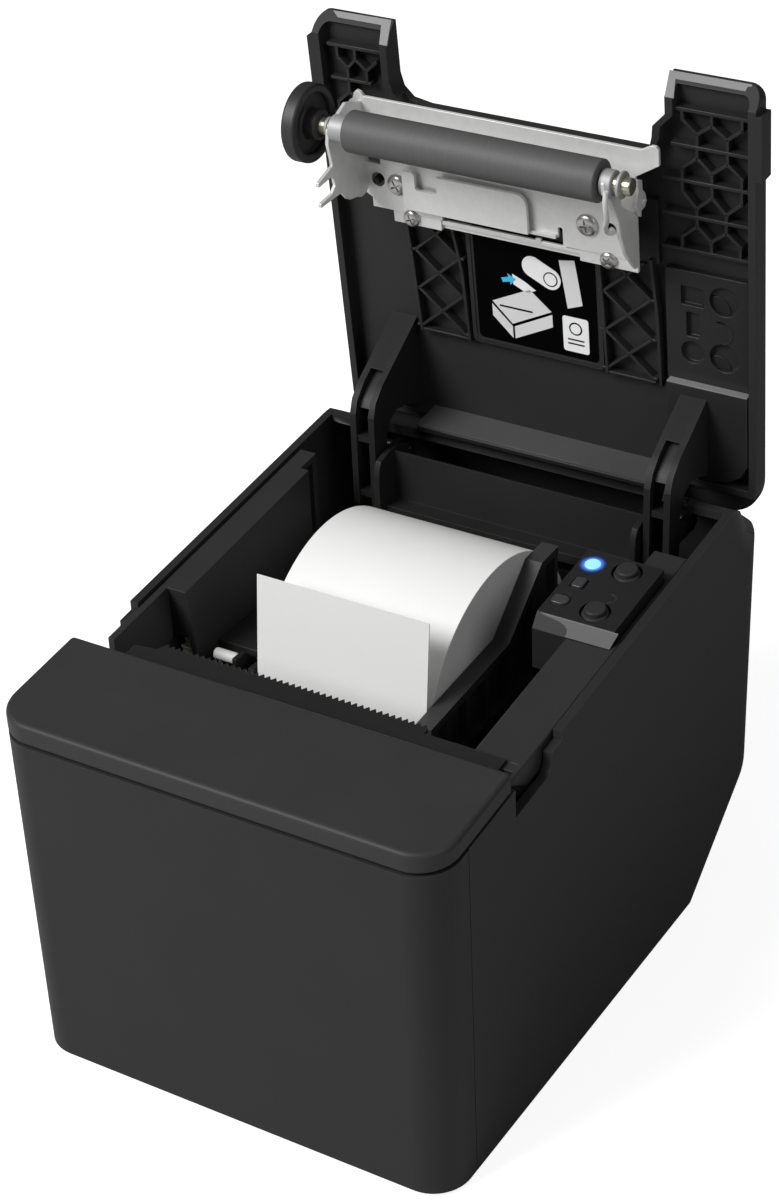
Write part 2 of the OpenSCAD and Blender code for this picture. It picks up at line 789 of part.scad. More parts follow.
// ---------------------------------------------------------------- lid

// Outline of the lid seen from above, in the lid's own frame
module lid_plan(inset = 0) {
    difference() {
        plan(-half_w + inset, half_w - inset, -lid_len + inset, lid_rear - inset, 4 - inset * 0.6,
                15 - inset);
        translate([0, -lid_len - 1]) polygon([[notch_left - inset, 0], [notch_right + inset, 0],
                                              [notch_right + inset, 11.5], [notch_right - 3.9 + inset, 15.6],
                                              [notch_right - 4.2 + inset, 19],
                                                      [notch_right - 5.6, notch_len + 1 + inset],
                                              [notch_left + 10, notch_len + 1 + inset],
                                              [notch_left + 4, notch_len - inset * 0.5],
                                              [notch_left + 1 - inset, notch_len - 3],
                                              [notch_left - inset, notch_len - 7]]);
    }
}

module lid_shell() {
    tab_y = -127.9;
    color(charcoal) on_lid() difference() {
        union() {
            translate([0, 0, lid_base]) linear_extrude(lid_h) lid_plan();
            for (s = [-1, 1]) translate([s * (half_w + 0.4), tab_y + 9.6, lid_base + 3])
                    cube([2.8, 19.2, 6], center = true);
        }
        translate([0, 0, lid_base - 1]) linear_extrude(lid_h - lid_skin + 1) intersection() {
            lid_plan(2.4);
            translate([-80, -200]) square([160, 200 + lid_end - 2.4]);
        }
        // behind its end wall only the skin goes on, thinned towards its edge
        across(-80, 80) polygon([[lid_end, 0], [lid_end, lid_top - lid_skin], [0, lid_top - lid_skin],
                                 [3, lid_top - 1.6], [6.5, lid_top - 0.55], [12, lid_top - 0.55], [12, 0]]);
        // ends of the ears, sloped back from their inner faces
        across(-80, 80) polygon([[-129.2, lid_base], [-134.6, lid_base + 5.9], [-150, lid_base + 5.9],
                                 [-150, lid_base - 1], [-129.2, lid_base - 1]]);
        // bores of the two keys
        for (y = lid_key_y) translate([button_x, y, 0]) cylinder(r = lid_key_r + 0.3, h = 30);
    }
}

module lid_ribs() {
    // stiffening ribs under the skin: hexagons on the ears, diamonds beside the label, and a rear ledge
    top = lid_top - lid_skin;
    pitch = 13;
    color(dark) on_lid() union() {
        for (s = [[-57.4, -124], [57.1, -118.5], [57.1, -105.5], [57.1, -92.5], [-57.4, -111]])
            translate([s[0], s[1], top - 3]) linear_extrude(3) difference() {
                square([19.6, pitch + 0.8], center = true);
                for (dx = [-4.9, 4.9]) translate([dx, 0]) rotate(30) circle(4.8, $fn = 6);
            }
        for (x = [-35, 29], i = [0:3]) translate([x, -34 - i * 11, top - 2.4]) linear_extrude(2.4)
                difference() {
            square([18, 11.8], center = true);
            circle(5.6, $fn = 4);
            for (c = [[1, 1], [1, -1], [-1, 1], [-1, -1]]) translate([c[0] * 8, c[1] * 5]) circle(3, $fn = 4);
        }
        // frame round the key pad's pocket
        translate([53, -55.3, top - 1.9]) linear_extrude(1.9) difference() {
            square([27, 33], center = true);
            square([25, 31], center = true);
        }
        // the end wall goes on inwards between the arms, as a ledge
        across(-42.6, 42.6) polygon([[-4.7, 3.6], [-4.7, lid_base], [-6.5, lid_base], [-6.5, 3.6]]);
    }
}

module arm_view() {
    // goose-neck arm, in the position of the open lid
    difference() {
        union() {
            polygon([[60, 107], [60, 138], [61.6, 142.6], [66, 147], [83.2, 158.2], [87.4, 161],
                    [90.6, 131.2],
                     [86.4, 131.6], [80, 134.4], [73.5, 135.4], [69.6, 133.4], [67.2, 129], [67.2, 123.8],
                     [hinge_y, hinge_z + 2.8], [hinge_y, hinge_z - 2.8], [67.2, 118.2], [66.6, 108.5],
                             [65, 107]]);
            translate([hinge_y, hinge_z]) circle(lug_r);
        }
        translate([hinge_y, hinge_z]) circle(pin_r);
    }
}

module lid_arms() {
    color(dark) {
        both_sides(46, 48) arm_view();
        both_sides(52.5, 54.5) arm_view();
        both_sides(48, 52.5) polygon([[60.6, 129], [66.6, 129], [66.6, 131], [60.6, 131]]);
        both_sides(48, 52.5) polygon([[60.6, 110], [66, 110], [66, 112], [60.6, 112]]);
        both_sides(48, 52.5) polygon([[70, 149.6], [83.2, 158.2], [87.4, 161], [88.7, 149], [84, 151]]);
    }
}

module hinge_pins() {
    color(steel) for (s = [-1, 1]) rod(min(s * 42.6, s * 55), max(s * 42.6, s * 55), pin_r, hinge_y, hinge_z);
}

module lid_label() {
    color(black) on_lid() translate([-2.6, -54, lid_top - lid_skin - 0.5]) linear_extrude(0.5)
            plan(-20.4, 20.4, -17, 17, 2, 2);
}

module key_bezel() {
    // thin black panel on top of the lid, round its keys
    color(black) on_lid() difference() {
        translate([0, 0, lid_top]) linear_extrude(0.4) translate([53.5, -54.5])
                plan(-11, 11, -16, 16, 2.5, 2.5);
        for (y = lid_key_y) translate([button_x, y, 0]) cylinder(r = lid_key_r + 0.3, h = 30);
    }
}

module lid_key(y) {
    on_lid() translate([button_x, y, lid_top - lid_skin - 0.3]) union() {
        cylinder(r = lid_key_r, h = lid_skin + 1.5);
        translate([0, 0, -0.5]) cylinder(r = lid_key_r + 1, h = 0.5);
    }
}

module lid_feed_key() {
    color(dark) lid_key(lid_key_y[0]);
}

module lid_power_key() {
    color(dark) lid_key(lid_key_y[1]);
}

module frame_side(left) {
    if (left) polygon([[-117, -2.5], [-114, -11.5], [-106, -13.2], [-101.6, -12.5], [-99.9, -20.5],
            [-98.5, -20.5],
                       [-98.6, -10.6], [-93.4, -10.6], [-93.4, -20.5], [-92.1, -20.5], [-91.6, -9.5],
                               [-87.4, -5.5],
                       [-86.6, -0.5], [-88, web_z + plate_t], [-113.4, web_z + plate_t]]);
    else polygon([[-112, 2], [-116, -9], [-113, -14], [-107, -11], [-104, -8], [-98.5, -6], [-86, -2],
                  [-79.4, 2.6], [-79.4, web_z + 0.4], [-94.6, web_z + 0.4], [-95, 9.4], [-96.6, 11],
                          [-99, 11],
                  [-100.4, 9], [-101.4, web_z + 0.4], [-106, web_z + 0.4]]);
}

module platen_frame() {
    color(steel) on_lid() difference() {
        union() {
            // web with its upper flange
            translate([0, 0, web_z]) linear_extrude(plate_t) difference() {
                polygon([[left_plate_x, -87], [-47.4, -87], [-46.2, -84.6], [-37, -81.6], [-31, -79.6],
                        [22, -79.6],
                         [22, -82], [26, -79], [36.6, -79], [36.6, -106.6], [42.8, -109.4], [44, -111],
                                 [44, -114.6],
                         [42.6, -116.2], [-37, -115.6], [-44, -115.2], [left_plate_x, -113.4]]);
                translate([-45, -97]) square([6, 3.4]);
                translate([-32, -92]) square([37, 9.4]);
            }
            translate([0, -115.6, 3]) block([-37, 0, 0], [40, 1.2, web_z + 0.1 - 3]);
            across(left_plate_x, left_plate_x + plate_t) frame_side(true);
            across(right_plate_x, right_plate_x + plate_t) frame_side(false);
            for (x = [left_plate_x, right_plate_x]) rod(x, x + plate_t, 6.2, -platen_v, -platen_drop);
            // tongue pressed forward out of the web
            translate([-12, -88, 1.8]) linear_extrude(plate_t) plan(-15.4, 15.4, -7, 7, 3.4, 0.4);
            block([-27.4, -82.2, 1.8], [3.4, -81, web_z + 0.4]);
            block([-27.4, -82.8, web_z - 0.2], [3.4, -81, web_z + plate_t]);
            // spacers down to the lid's skin
            for (p = [[-40, -84.5], [-37, -105], [30, -84.5], [30, -105]]) translate([p[0], p[1], web_z + 1])
                cylinder(r = 3, h = lid_top - lid_skin - web_z - 1);
        }
        for (x = [left_plate_x - 1, right_plate_x - 1]) rod(x, x + 4, 4.25, -platen_v, -platen_drop);
        for (p = [[-41.9, -88.6], [20.5, -88.4]]) translate([p[0], p[1], 0]) cylinder(r = 1.5, h = 8);
        translate([27.9, -88.4, 0]) cylinder(r = 2, h = 8);
    }
}

module frame_bar() {
    color(steel) on_lid() {
        difference() {
            union() {
                block([-40, -79.2, web_z + 1.3], [36.4, -74.6, web_z + 2.5]);
                block([-33, -75.8, web_z + 1.3], [35, -74.6, lid_top - lid_skin]);
            }
            for (x = [-36.7, 27.1]) translate([x, -77.4, 0]) cylinder(r = 1.25, h = 12);
        }
    }
}

module bearing_bushes() {
    color([0.55, 0.56, 0.58]) on_lid() for (x = [left_plate_x - 0.8, right_plate_x - 0.9]) difference() {
        union() {
            rod(x, x + 6, 4.2, -platen_v, -platen_drop);
            rod(x + (x < 0 ? 2 : 4.8), x + 6, 5, -platen_v, -platen_drop);
        }
        rod(x - 1, x + 7, shaft_r + run_gap, -platen_v, -platen_drop);
    }
}

module bearing_lever() {
    // bent steel spring lever beside the right-hand bearing
    color(steel) on_lid() across(37, 37.9)
        polygon([[-118.6, -15], [-117.2, -15], [-112, -16.4], [-104, -15], [-100.6, -8], [-90, -1],
                [-87, 4.8],
                 [-89, 4.8], [-92, 0.4], [-102, -6.4], [-105.4, -13.2], [-112, -14.9], [-117, -13.6]]);
}

module frame_screws() {
    color(steel) on_lid() {
        for (p = [[-41.9, -88.6], [20.5, -88.4]]) translate([p[0], p[1], web_z]) rotate([180, 0, 0])
                screw(3.2, 1.4, 6);
        for (x = [-36.7, 27.1]) translate([x, -77.4, web_z + 1.3]) rotate([180, 0, 0]) screw(1.5, 1.2, 4);
    }
    // locating pin with a black cap
    color(black) on_lid() translate([-48.5, -88.9, web_z - 2]) cylinder(r = 1.9, h = 2);
}

module platen_rubber() {
    color(black) on_lid() difference() {
        rod(platen_left, platen_right, platen_r, -platen_v, -platen_drop);
        rod(platen_left - 1, platen_right + 1, shaft_r, -platen_v, -platen_drop);
    }
}

module platen_shaft() {
    color(cream) on_lid() rod(-64, 43.2, shaft_r, -platen_v, -platen_drop);
}

module feed_wheel() {
    color(black) on_lid() translate([0, -platen_v, -platen_drop]) rotate([0, 90, 0]) rotate_extrude($fn = 96)
        polygon([[shaft_r, -62.5], [shaft_r, -55.5], [4.4, -55.5], [4.4, -60], [wheel_r - 2.6, -60],
                 [wheel_r - 2.6, -58], [wheel_r, -58], [wheel_r, -62.5]]);
}

base_tray();
rubber_feet();
casing();
front_panel();
connector_plate();
front_cover();
tear_bar();
cutter_frame();
cutter_knife();
cutter_pinion();
cutter_motor();
fixed_blade();
head_bracket();
thermal_head();
head_springs();
roll_tray();
left_guide();
divider();
paper_roll();
roll_core();
paper_sheet();
left_housing();
latch_pin();
drive_gear();
motor_pinion();
feed_motor();
right_deck();
control_block();
feed_button();
power_button();
key_switches();
status_lens();
paper_lens();
error_lens();
panel_board();
hinge_brackets();
main_board();
power_inlet();
usb_port();
serial_port();
drawer_port();
switch_frame();
power_switch();
case_screws();
lid_shell();
lid_ribs();
lid_arms();
hinge_pins();
lid_label();
key_bezel();
lid_feed_key();
lid_power_key();
platen_frame();
frame_bar();
bearing_bushes();
bearing_lever();
frame_screws();
platen_rubber();
platen_shaft();
feed_wheel();
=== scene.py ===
# %% [markdown]
# # A receipt printer with its lid open
#
# We dress a packed mechanical model so that it looks like the real machine: a charcoal moulded
# casing, a steel platen frame inside the lid and a white paper roll. The model comes first, as a
# fixed frame, and every visible piece that we make rides on one of its moving bodies.

# %% Load the frame
import json
import math

import bmesh
import bpy
from mathutils import Matrix, Vector


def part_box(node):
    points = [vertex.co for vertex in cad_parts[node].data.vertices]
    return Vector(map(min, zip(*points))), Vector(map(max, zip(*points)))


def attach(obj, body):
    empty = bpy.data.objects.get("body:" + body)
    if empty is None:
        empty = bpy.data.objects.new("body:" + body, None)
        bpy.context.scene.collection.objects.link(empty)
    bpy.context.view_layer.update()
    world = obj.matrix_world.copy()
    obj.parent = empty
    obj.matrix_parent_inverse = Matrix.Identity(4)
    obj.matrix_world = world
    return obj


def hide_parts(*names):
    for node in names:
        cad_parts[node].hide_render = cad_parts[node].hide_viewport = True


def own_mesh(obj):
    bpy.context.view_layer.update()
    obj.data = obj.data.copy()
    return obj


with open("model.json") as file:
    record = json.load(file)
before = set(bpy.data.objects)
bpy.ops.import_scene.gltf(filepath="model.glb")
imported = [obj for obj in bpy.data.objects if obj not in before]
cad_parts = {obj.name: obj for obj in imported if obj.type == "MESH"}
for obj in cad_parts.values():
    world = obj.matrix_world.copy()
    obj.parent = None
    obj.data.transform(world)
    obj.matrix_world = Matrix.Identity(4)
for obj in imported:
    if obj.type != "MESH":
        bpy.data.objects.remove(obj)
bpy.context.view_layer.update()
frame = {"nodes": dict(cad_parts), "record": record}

# %% [markdown]
# ## Units and the two places where things are measured
#
# The machine is small, so its sizes read best in millimetres, and one factor turns them into
# Blender's metres. Pieces of the lid are easiest to give in the lid's own frame, as if it lay flat:
# x across, v from the hinge axis towards the front edge, w outwards through the skin. One function
# turns such a point into the open lid's position, so no piece needs to be rotated by hand.

# %% Millimetres, the slope of the top and the lid's own frame
MM = 0.001
RIM_RISE = 0.12
FRONT_Y, FRONT_RIM_Z = -99.5, 110.4
HINGE = Vector((0.0, 76.3, 121.0))
LID_LENGTH, LID_DEEP = 136.4, 17.4
LID_OPEN = math.radians(91) - math.atan(RIM_RISE)
ALONG = Vector((0.0, -math.cos(LID_OPEN), math.sin(LID_OPEN)))
OUT = Vector((0.0, math.sin(LID_OPEN), math.cos(LID_OPEN)))


def on_lid(x, v, w):
    """A point of the lid's own frame, placed where the open lid holds it, in millimetres."""
    return HINGE + Vector((x, 0, 0)) + ALONG * v + OUT * w


def rim(y):
    """Height of the casing's sloping rim at y."""
    return FRONT_RIM_Z + RIM_RISE * (y - FRONT_Y)


print("front edge of the open lid:", tuple(round(c, 1) for c in on_lid(0, LID_LENGTH, LID_DEEP)))

# %% [markdown]
# ## Writing shader maths as plain expressions
#
# Blender builds a material from nodes joined by links. Written out call by call, even a small
# formula takes a page. The class below wraps one output socket and overloads Python's operators,
# so that `1 - mask` or `a * b + c` adds the Math nodes by itself.

# %% A socket that understands arithmetic
class Sock:
    """An output socket that adds Math nodes when it is used in an expression."""

    def __init__(self, tree, out):
        self.tree, self.out = tree, out

    def _math(self, op, a, b=None, clamp=False):
        n = self.tree.nodes.new("ShaderNodeMath")
        n.operation, n.use_clamp = op, clamp
        for i, value in enumerate((a, b)):
            if isinstance(value, Sock):
                self.tree.links.new(value.out, n.inputs[i])
            elif value is not None:
                n.inputs[i].default_value = value
        return Sock(self.tree, n.outputs[0])

    def __add__(self, b):
        return self._math("ADD", self, b)

    def __sub__(self, b):
        return self._math("SUBTRACT", self, b)

    def __rsub__(self, a):
        return self._math("SUBTRACT", a, self)

    def __mul__(self, b):
        return self._math("MULTIPLY", self, b)

    def __pow__(self, b):
        return self._math("POWER", self, b)

    def __gt__(self, b):
        return self._math("GREATER_THAN", self, b)

    __radd__ = __add__
    __rmul__ = __mul__

    def fn(self, op):
        """Any other Math operation on this socket alone, such as ABSOLUTE."""
        return self._math(op, self)

    def clamp(self):
        """The same value, held between 0 and 1."""
        return self._math("ADD", self, 0.0, clamp=True)


print("sockets now understand + - * ** and >")

# %% [markdown]
# ## One material, and the nodes that every finish needs
#
# `Finish` holds a material's node tree and its Principled shader. `node` makes any other node from
# its type, its settings and the values or links of its sockets, and the other methods are the few
# building stones of the finishes: a place on the object in millimetres, noise of a given size, a
# mix of two colours, a mask for worn edges and a bump of a given height.

# %% A material and its building stones
class Finish:
    """One material: its node tree and its Principled shader."""

    def __init__(self, name, **plain):
        self.mat = bpy.data.materials.new(name)
        self.mat.use_nodes = True
        self.tree = self.mat.node_tree
        self.shader = self.tree.nodes["Principled BSDF"]
        for socket, value in plain.items():
            self.shader.inputs[socket.replace("_", " ")].default_value = value

    def node(self, kind, settings=None, out=0, **sockets):
        """Add a node: settings first, then its sockets, by name or as i0, i1 by number."""
        n = self.tree.nodes.new("ShaderNode" + kind)
        for key, value in (settings or {}).items():
            setattr(n, key, value)
        for key, value in sockets.items():
            numbered = key[0] == "i" and key[1:].isdigit()
            socket = n.inputs[int(key[1:])] if numbered else n.inputs[key.replace("_", " ")]
            if isinstance(value, Sock):
                self.tree.links.new(value.out, socket)
            else:
                socket.default_value = value
        return Sock(self.tree, n.outputs[out])

    def place(self, scale=1.0):
        """The point on the object, in millimetres times `scale`."""
        at = self.node("TexCoord", out=3)
        return self.node("VectorMath", {"operation": "SCALE"}, Vector=at, Scale=scale / MM)

    def split(self, vector):
        """The x, y and z of a vector."""
        n = self.tree.nodes.new("ShaderNodeSeparateXYZ")
        self.tree.links.new(vector.out, n.inputs[0])
        return [Sock(self.tree, out) for out in n.outputs]

    def noise(self, size, detail=2.0, rough=0.5):
        """Noise from 0 to 1, with features about `size` millimetres across."""
        return self.node("TexNoise", Vector=self.place(1.0 / size), Scale=1.0, Detail=detail,
                         Roughness=rough)

    def mix(self, a, b, by):
        """Colour a where `by` is 0 and colour b where it is 1."""
        return self.node("Mix", {"data_type": "RGBA"}, out=2, i0=by, i6=a, i7=b)

    def edge(self, radius):
        """1 along sharp outer edges within `radius` millimetres, 0 on flat faces."""
        bevel = self.node("Bevel", {"samples": 4}, Radius=radius * MM)
        flat = self.node("NewGeometry", out=1)
        dot = self.node("VectorMath", {"operation": "DOT_PRODUCT"}, out=1, i0=bevel, i1=flat)
        return (1.0 - dot).clamp()

    def bump(self, height, deep):
        """Bump from a height of 0 to 1 that stands `deep` millimetres high."""
        return self.node("Bump", Height=height, Distance=deep * MM, Strength=1.0)

    def drive(self, **sockets):
        """Link values to the Principled shader's sockets."""
        for key, value in sockets.items():
            self.tree.links.new(value.out, self.shader.inputs[key.replace("_", " ")])

    def fixed(self, socket, value):
        """Set a socket of the Principled shader that is the same all over."""
        self.shader.inputs[socket].default_value = value


def shade(colour, factor):
    """A colour made darker or lighter, with its alpha."""
    return tuple(min(1, c * factor) for c in colour) + (1,)


print("a colour for a node:", shade((0.5, 0.5, 0.5), 0.9))

# %% [markdown]
# ## Moulded plastic
#
# The casing is a matt, fine-grained black plastic. On the real thing three things make it read as
# plastic and not as a black hole: the grain breaks the highlight up, the colour and gloss drift a
# little from place to place, and the edges are polished lighter by handling. Here the lighter edges
# are also a painted highlight. An image texture would need unwrapping, so noise in three dimensions
# does it: the grain is a bump about a third of a millimetre across, and the drift and the lighter
# edges go into colour and roughness. The parts are of several shades of black, set one by one so that
# neighbours stand apart under the lamps; the paler copies for the cover, the housing parts and the
# divider are also painted light, which lifts faces that the lamps leave too dark.

# %% Plastics
DRIFT = 0.12


def moulded(name, colour, rough, grain=0.012, grain_size=0.35, wear_and_highlight=0.25, shine=0.3):
    """A matt moulding: fine grain, slow drift in colour and gloss, lighter edges."""
    f = Finish(name)
    fine = f.noise(grain_size, 2.0, 0.6)
    slow = f.noise(22.0, 3.0, 0.5)
    edges = f.edge(0.5)
    # Lighter, glossier edges: partly rubbed by handling, partly a painted highlight.
    worn_and_highlit = tuple(min(1, c * (1 + 4 * wear_and_highlight) + 0.006) for c in colour) + (1,)
    base = f.mix(shade(colour, 1 - DRIFT), shade(colour, 1 + DRIFT), slow)
    base = f.mix(base, worn_and_highlit, (edges * 1.6).clamp())
    gloss = slow * 0.08 + fine * 0.08 + (rough - 0.08) - edges * 0.12
    f.drive(Base_Color=base, Roughness=gloss.clamp(), Normal=f.bump(fine, grain))
    f.fixed("Specular IOR Level", shine)
    return f.mat


CHARCOAL = moulded("charcoal_moulding", (0.0245, 0.0245, 0.0249), 0.50, wear_and_highlight=0.18, shine=0.2)
# The cover, housing and divider blacks are paler copies of the casing's: painted light that lifts faces the
# lamps leave too dark.
COVER = moulded("cover_moulding", (0.034, 0.034, 0.0345), 0.48, wear_and_highlight=0.18, shine=0.2)
HOUSING = moulded("housing_moulding", (0.027, 0.027, 0.0273), 0.50, grain=0.010, shine=0.25)
DIVIDER = moulded("divider_moulding", (0.042, 0.042, 0.043), 0.46, grain=0.008, shine=0.3)
SMOKE = moulded("smoked_lens", (0.030, 0.030, 0.032), 0.30, grain=0.002, shine=0.5)
NYLON = moulded("white_nylon", (0.72, 0.72, 0.70), 0.40, grain=0.003, wear_and_highlight=0.02)
INNER = moulded("inner_moulding", (0.0150, 0.0150, 0.0153), 0.54, grain=0.010, shine=0.22)
LIDSIDE = moulded("lid_moulding", (0.0175, 0.0175, 0.0178), 0.44, grain=0.006, wear_and_highlight=0.35)
# Two pale finishes that carry a painted highlight, for faces that would mirror a lamp.
HIGHLIGHT_PAINT = moulded("pale_painted_highlight", (0.20, 0.20, 0.201), 0.30, grain=0.003, wear_and_highlight=0.1, shine=0.5)
LEDGE_HIGHLIGHT_PAINT = moulded("ledge_painted_highlight", (0.075, 0.075, 0.076), 0.40, grain=0.004, wear_and_highlight=0.1)
SATIN = moulded("satin_black", (0.012, 0.012, 0.013), 0.40, grain=0.004, grain_size=0.2)
IVORY = moulded("ivory_plastic", (0.62, 0.60, 0.50), 0.42, grain=0.003, wear_and_highlight=0.05)
print("plastics:", CHARCOAL.name, INNER.name, SATIN.name, IVORY.name)

# %% [markdown]
# ## Metal, rubber, paper and the rest
#
# The platen frame is zinc-plated sheet: bright, a little mottled, with fine scratches along the
# rolling direction. Real plating is fully metal, but under two soft lamps a metal mirrors mostly
# a dark room, so its metallic value is set low and its colour pale. The roller is soft matt rubber
# with faint rings from grinding. Paper is nearly white, with a slight mottle, and its roll shows
# fine lines on its ends where the turns meet.

# %% Plated sheet and rubber
def sheet_steel(name, colour, rough, metal):
    """Zinc-plated sheet: mottled and finely scratched along X."""
    f = Finish(name)
    mottle = f.noise(3.0, 3.0, 0.6)
    stretched = f.node("VectorMath", {"operation": "MULTIPLY"}, i0=f.place(), i1=(0.08, 3.0, 3.0))
    lines = f.node("TexNoise", Vector=stretched, Scale=1.0, Detail=3.0, Roughness=0.6)
    edges = f.edge(0.25)
    base = f.mix(shade(colour, 0.9), shade(colour, 1.08), mottle)
    base = f.mix(base, (0.8, 0.8, 0.79, 1), (edges * 1.2).clamp())
    gloss = mottle * 0.12 + lines * 0.10 + (rough - 0.1)
    f.drive(Base_Color=base, Roughness=gloss.clamp(), Normal=f.bump(lines, 0.006))
    f.fixed("Metallic", metal)
    return f.mat


def rubber(name, colour, rough):
    """Matt rubber with faint rings round X."""
    f = Finish(name)
    fine = f.noise(0.25, 2.0, 0.6)
    squeezed = f.node("VectorMath", {"operation": "MULTIPLY"}, i0=f.place(), i1=(1.5, 0.02, 0.02))
    rings = f.node("TexNoise", Vector=squeezed, Scale=1.0, Detail=2.0, Roughness=0.5)
    base = f.mix(shade(colour, 0.85), shade(colour, 1.2), rings)
    gloss = fine * 0.12 + rings * 0.06 + (rough - 0.09)
    f.drive(Base_Color=base, Roughness=gloss.clamp(), Normal=f.bump(fine * 0.6 + rings * 0.4, 0.01))
    return f.mat


STEEL = sheet_steel("zinc_sheet", (0.74, 0.74, 0.73), 0.44, 0.3)
SCREW = sheet_steel("screw_steel", (0.55, 0.54, 0.52), 0.30, 0.95)
CAST = sheet_steel("sintered_bush", (0.40, 0.40, 0.40), 0.55, 0.35)
SHAFT = sheet_steel("shaft_steel", (0.60, 0.56, 0.44), 0.28, 0.9)
RUBBER = rubber("platen_rubber", (0.078, 0.078, 0.079), 0.60)
WHEEL = rubber("wheel_black", (0.020, 0.020, 0.021), 0.5)
print("metals and rubber:", [m.name for m in (STEEL, SCREW, CAST, SHAFT, RUBBER, WHEEL)])

# %% Paper, and the ends of its roll
ROLL_Y, ROLL_Z = 23.6, 80.6
PAPER_WHITE = (0.86, 0.86, 0.85)


def paper(name, ends=False):
    """Thermal paper. With `ends`, the turns of the roll show as fine rings round its axis."""
    f = Finish(name)
    fibres = f.noise(0.6, 4.0, 0.65)
    cloud = f.noise(14.0, 2.0, 0.5)
    base = f.mix(shade(PAPER_WHITE, 0.985), shade(PAPER_WHITE, 1.01), fibres)
    base = f.mix(base, shade(PAPER_WHITE, 0.97), cloud)
    height = fibres
    if ends:
        _, y, z = f.split(f.place())
        away = ((y - ROLL_Y) ** 2.0 + (z - ROLL_Z) ** 2.0) ** 0.5
        turns = f.node("TexNoise", {"noise_dimensions": "1D"}, W=away * 2.2, Scale=1.0, Detail=6.0,
                       Roughness=0.8)
        facing = f.split(f.node("NewGeometry", out=1))
        end = facing[0].fn("ABSOLUTE") > 0.7
        ringed = f.mix((0.74, 0.74, 0.74, 1), (0.95, 0.95, 0.94, 1), turns)
        base = f.mix(base, ringed, end)
        height = fibres * (1 - end) + turns * end
    f.drive(Base_Color=base, Roughness=(fibres * 0.1 + 0.62).clamp(), Normal=f.bump(height, 0.012))
    return f.mat


PAPER = paper("thermal_paper")
ROLL = paper("paper_roll_wound", ends=True)
CARD = moulded("pressed_card", (0.36, 0.27, 0.18), 0.7, grain=0.02, grain_size=0.8, wear_and_highlight=0.0)
BOARD = moulded("circuit_board", (0.02, 0.12, 0.06), 0.35, grain=0.004, wear_and_highlight=0.05)
print("finishes:", len(bpy.data.materials))

# %% [markdown]
# ## Light and print
#
# The status lamp shines by itself, so it gets an emission colour, and round it the light fades
# out. The label is print: nearly flat colour with a faint mottle and hardly any gloss.

# %% Light that shines by itself
LAMP_X, LAMP_Y, LAMP_RADIUS = 45.4, 29.4, 2.3


def glowing(name, colour, strength):
    """A lamp behind clear plastic, a little speckled."""
    f = Finish(name, Roughness=0.25)
    speck = f.noise(1.2, 1.0)
    f.drive(Emission_Color=f.mix(shade(colour, 0.85), shade(colour, 1), speck),
            Base_Color=f.mix((0.02, 0.05, 0.08, 1), (0.03, 0.07, 0.10, 1), speck))
    f.fixed("Emission Strength", strength)
    return f.mat


def halo_round(name, reach):
    """Light that spills round the status lamp, fading outwards from its rim."""
    f = Finish(name, Roughness=0.4)
    x, y, _ = f.split(f.place())
    away = ((x - LAMP_X) ** 2.0 + (y - LAMP_Y) ** 2.0) ** 0.5
    near = ((reach - away) * (1.0 / (reach - LAMP_RADIUS))).clamp()
    grain = f.noise(0.3) * 0.1 + 0.9
    f.drive(Alpha=(near ** 1.7 * 0.9 * grain).clamp(),
            Emission_Color=f.mix((0.0, 0.05, 0.8, 1), (0.10, 0.35, 1.0, 1), near),
            Base_Color=f.mix((0.01, 0.01, 0.02, 1), (0.02, 0.03, 0.06, 1), near))
    f.fixed("Emission Strength", 0.85)
    return f.mat


print("middle of the lamp:", LAMP_X, LAMP_Y, "radius", LAMP_RADIUS)

# %% Print, and the last finishes
def printed(name, colour, rough=0.35):
    """A flat print: nearly even colour with a faint mottle."""
    f = Finish(name)
    speck = f.noise(0.5, 3.0, 0.6)
    f.drive(Base_Color=f.mix(shade(colour, 0.94), shade(colour, 1.04), speck),
            Roughness=(speck * 0.08 + rough).clamp(), Normal=f.bump(speck, 0.003))
    return f.mat


STICKER_BLACK = printed("sticker_black", (0.0012, 0.0012, 0.0012), 0.5)
STICKER_BLACK.node_tree.nodes["Principled BSDF"].inputs["Specular IOR Level"].default_value = 0.02
INK_WHITE = printed("print_white", (0.88, 0.88, 0.88))
INK_GREY = printed("print_grey", (0.70, 0.70, 0.70))
INK_BLUE = printed("print_blue", (0.06, 0.50, 0.80))
# The apron's coarse grain is the moulding's own; its pale colour is a painted highlight.
APRON = moulded("apron_grain_and_painted_highlight", (0.085, 0.085, 0.087), 0.55, grain=0.05, grain_size=0.45)
HALO = halo_round("lamp_halo", 4.2)
LIT = glowing("lit_lens", (0.36, 0.80, 1.0), 1.15)
print("light and print:", LIT.name, HALO.name, STICKER_BLACK.name, INK_BLUE.name)

# %% [markdown]
# ## Rounding what the model gives
#
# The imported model's parts have knife-sharp edges, and moulded parts never do: the thin bright line
# along a rounded edge is what the eye takes for plastic. `dress` copies a part's mesh, joins its
# flat triangles into whole faces and bevels its corners, and the copy stands in for the part.

# %% Paint a piece and hang it on its body
PARTS = {}


def finish_piece(obj, body, material, smooth=35.0):
    """Shade a piece smooth but for edges sharper than `smooth`, paint it and hang it on its body."""
    obj.data.materials.clear()
    obj.data.materials.append(material)
    for face in obj.data.polygons:
        face.use_smooth = True
    obj.data.set_sharp_from_angle(angle=math.radians(smooth))
    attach(obj, body)
    PARTS[obj.name] = obj
    return obj


def new_object(name, bm):
    """An object in the scene from a finished bmesh."""
    mesh = bpy.data.meshes.new(name)
    bm.to_mesh(mesh)
    bm.free()
    obj = bpy.data.objects.new(name, mesh)
    bpy.context.scene.collection.objects.link(obj)
    return obj


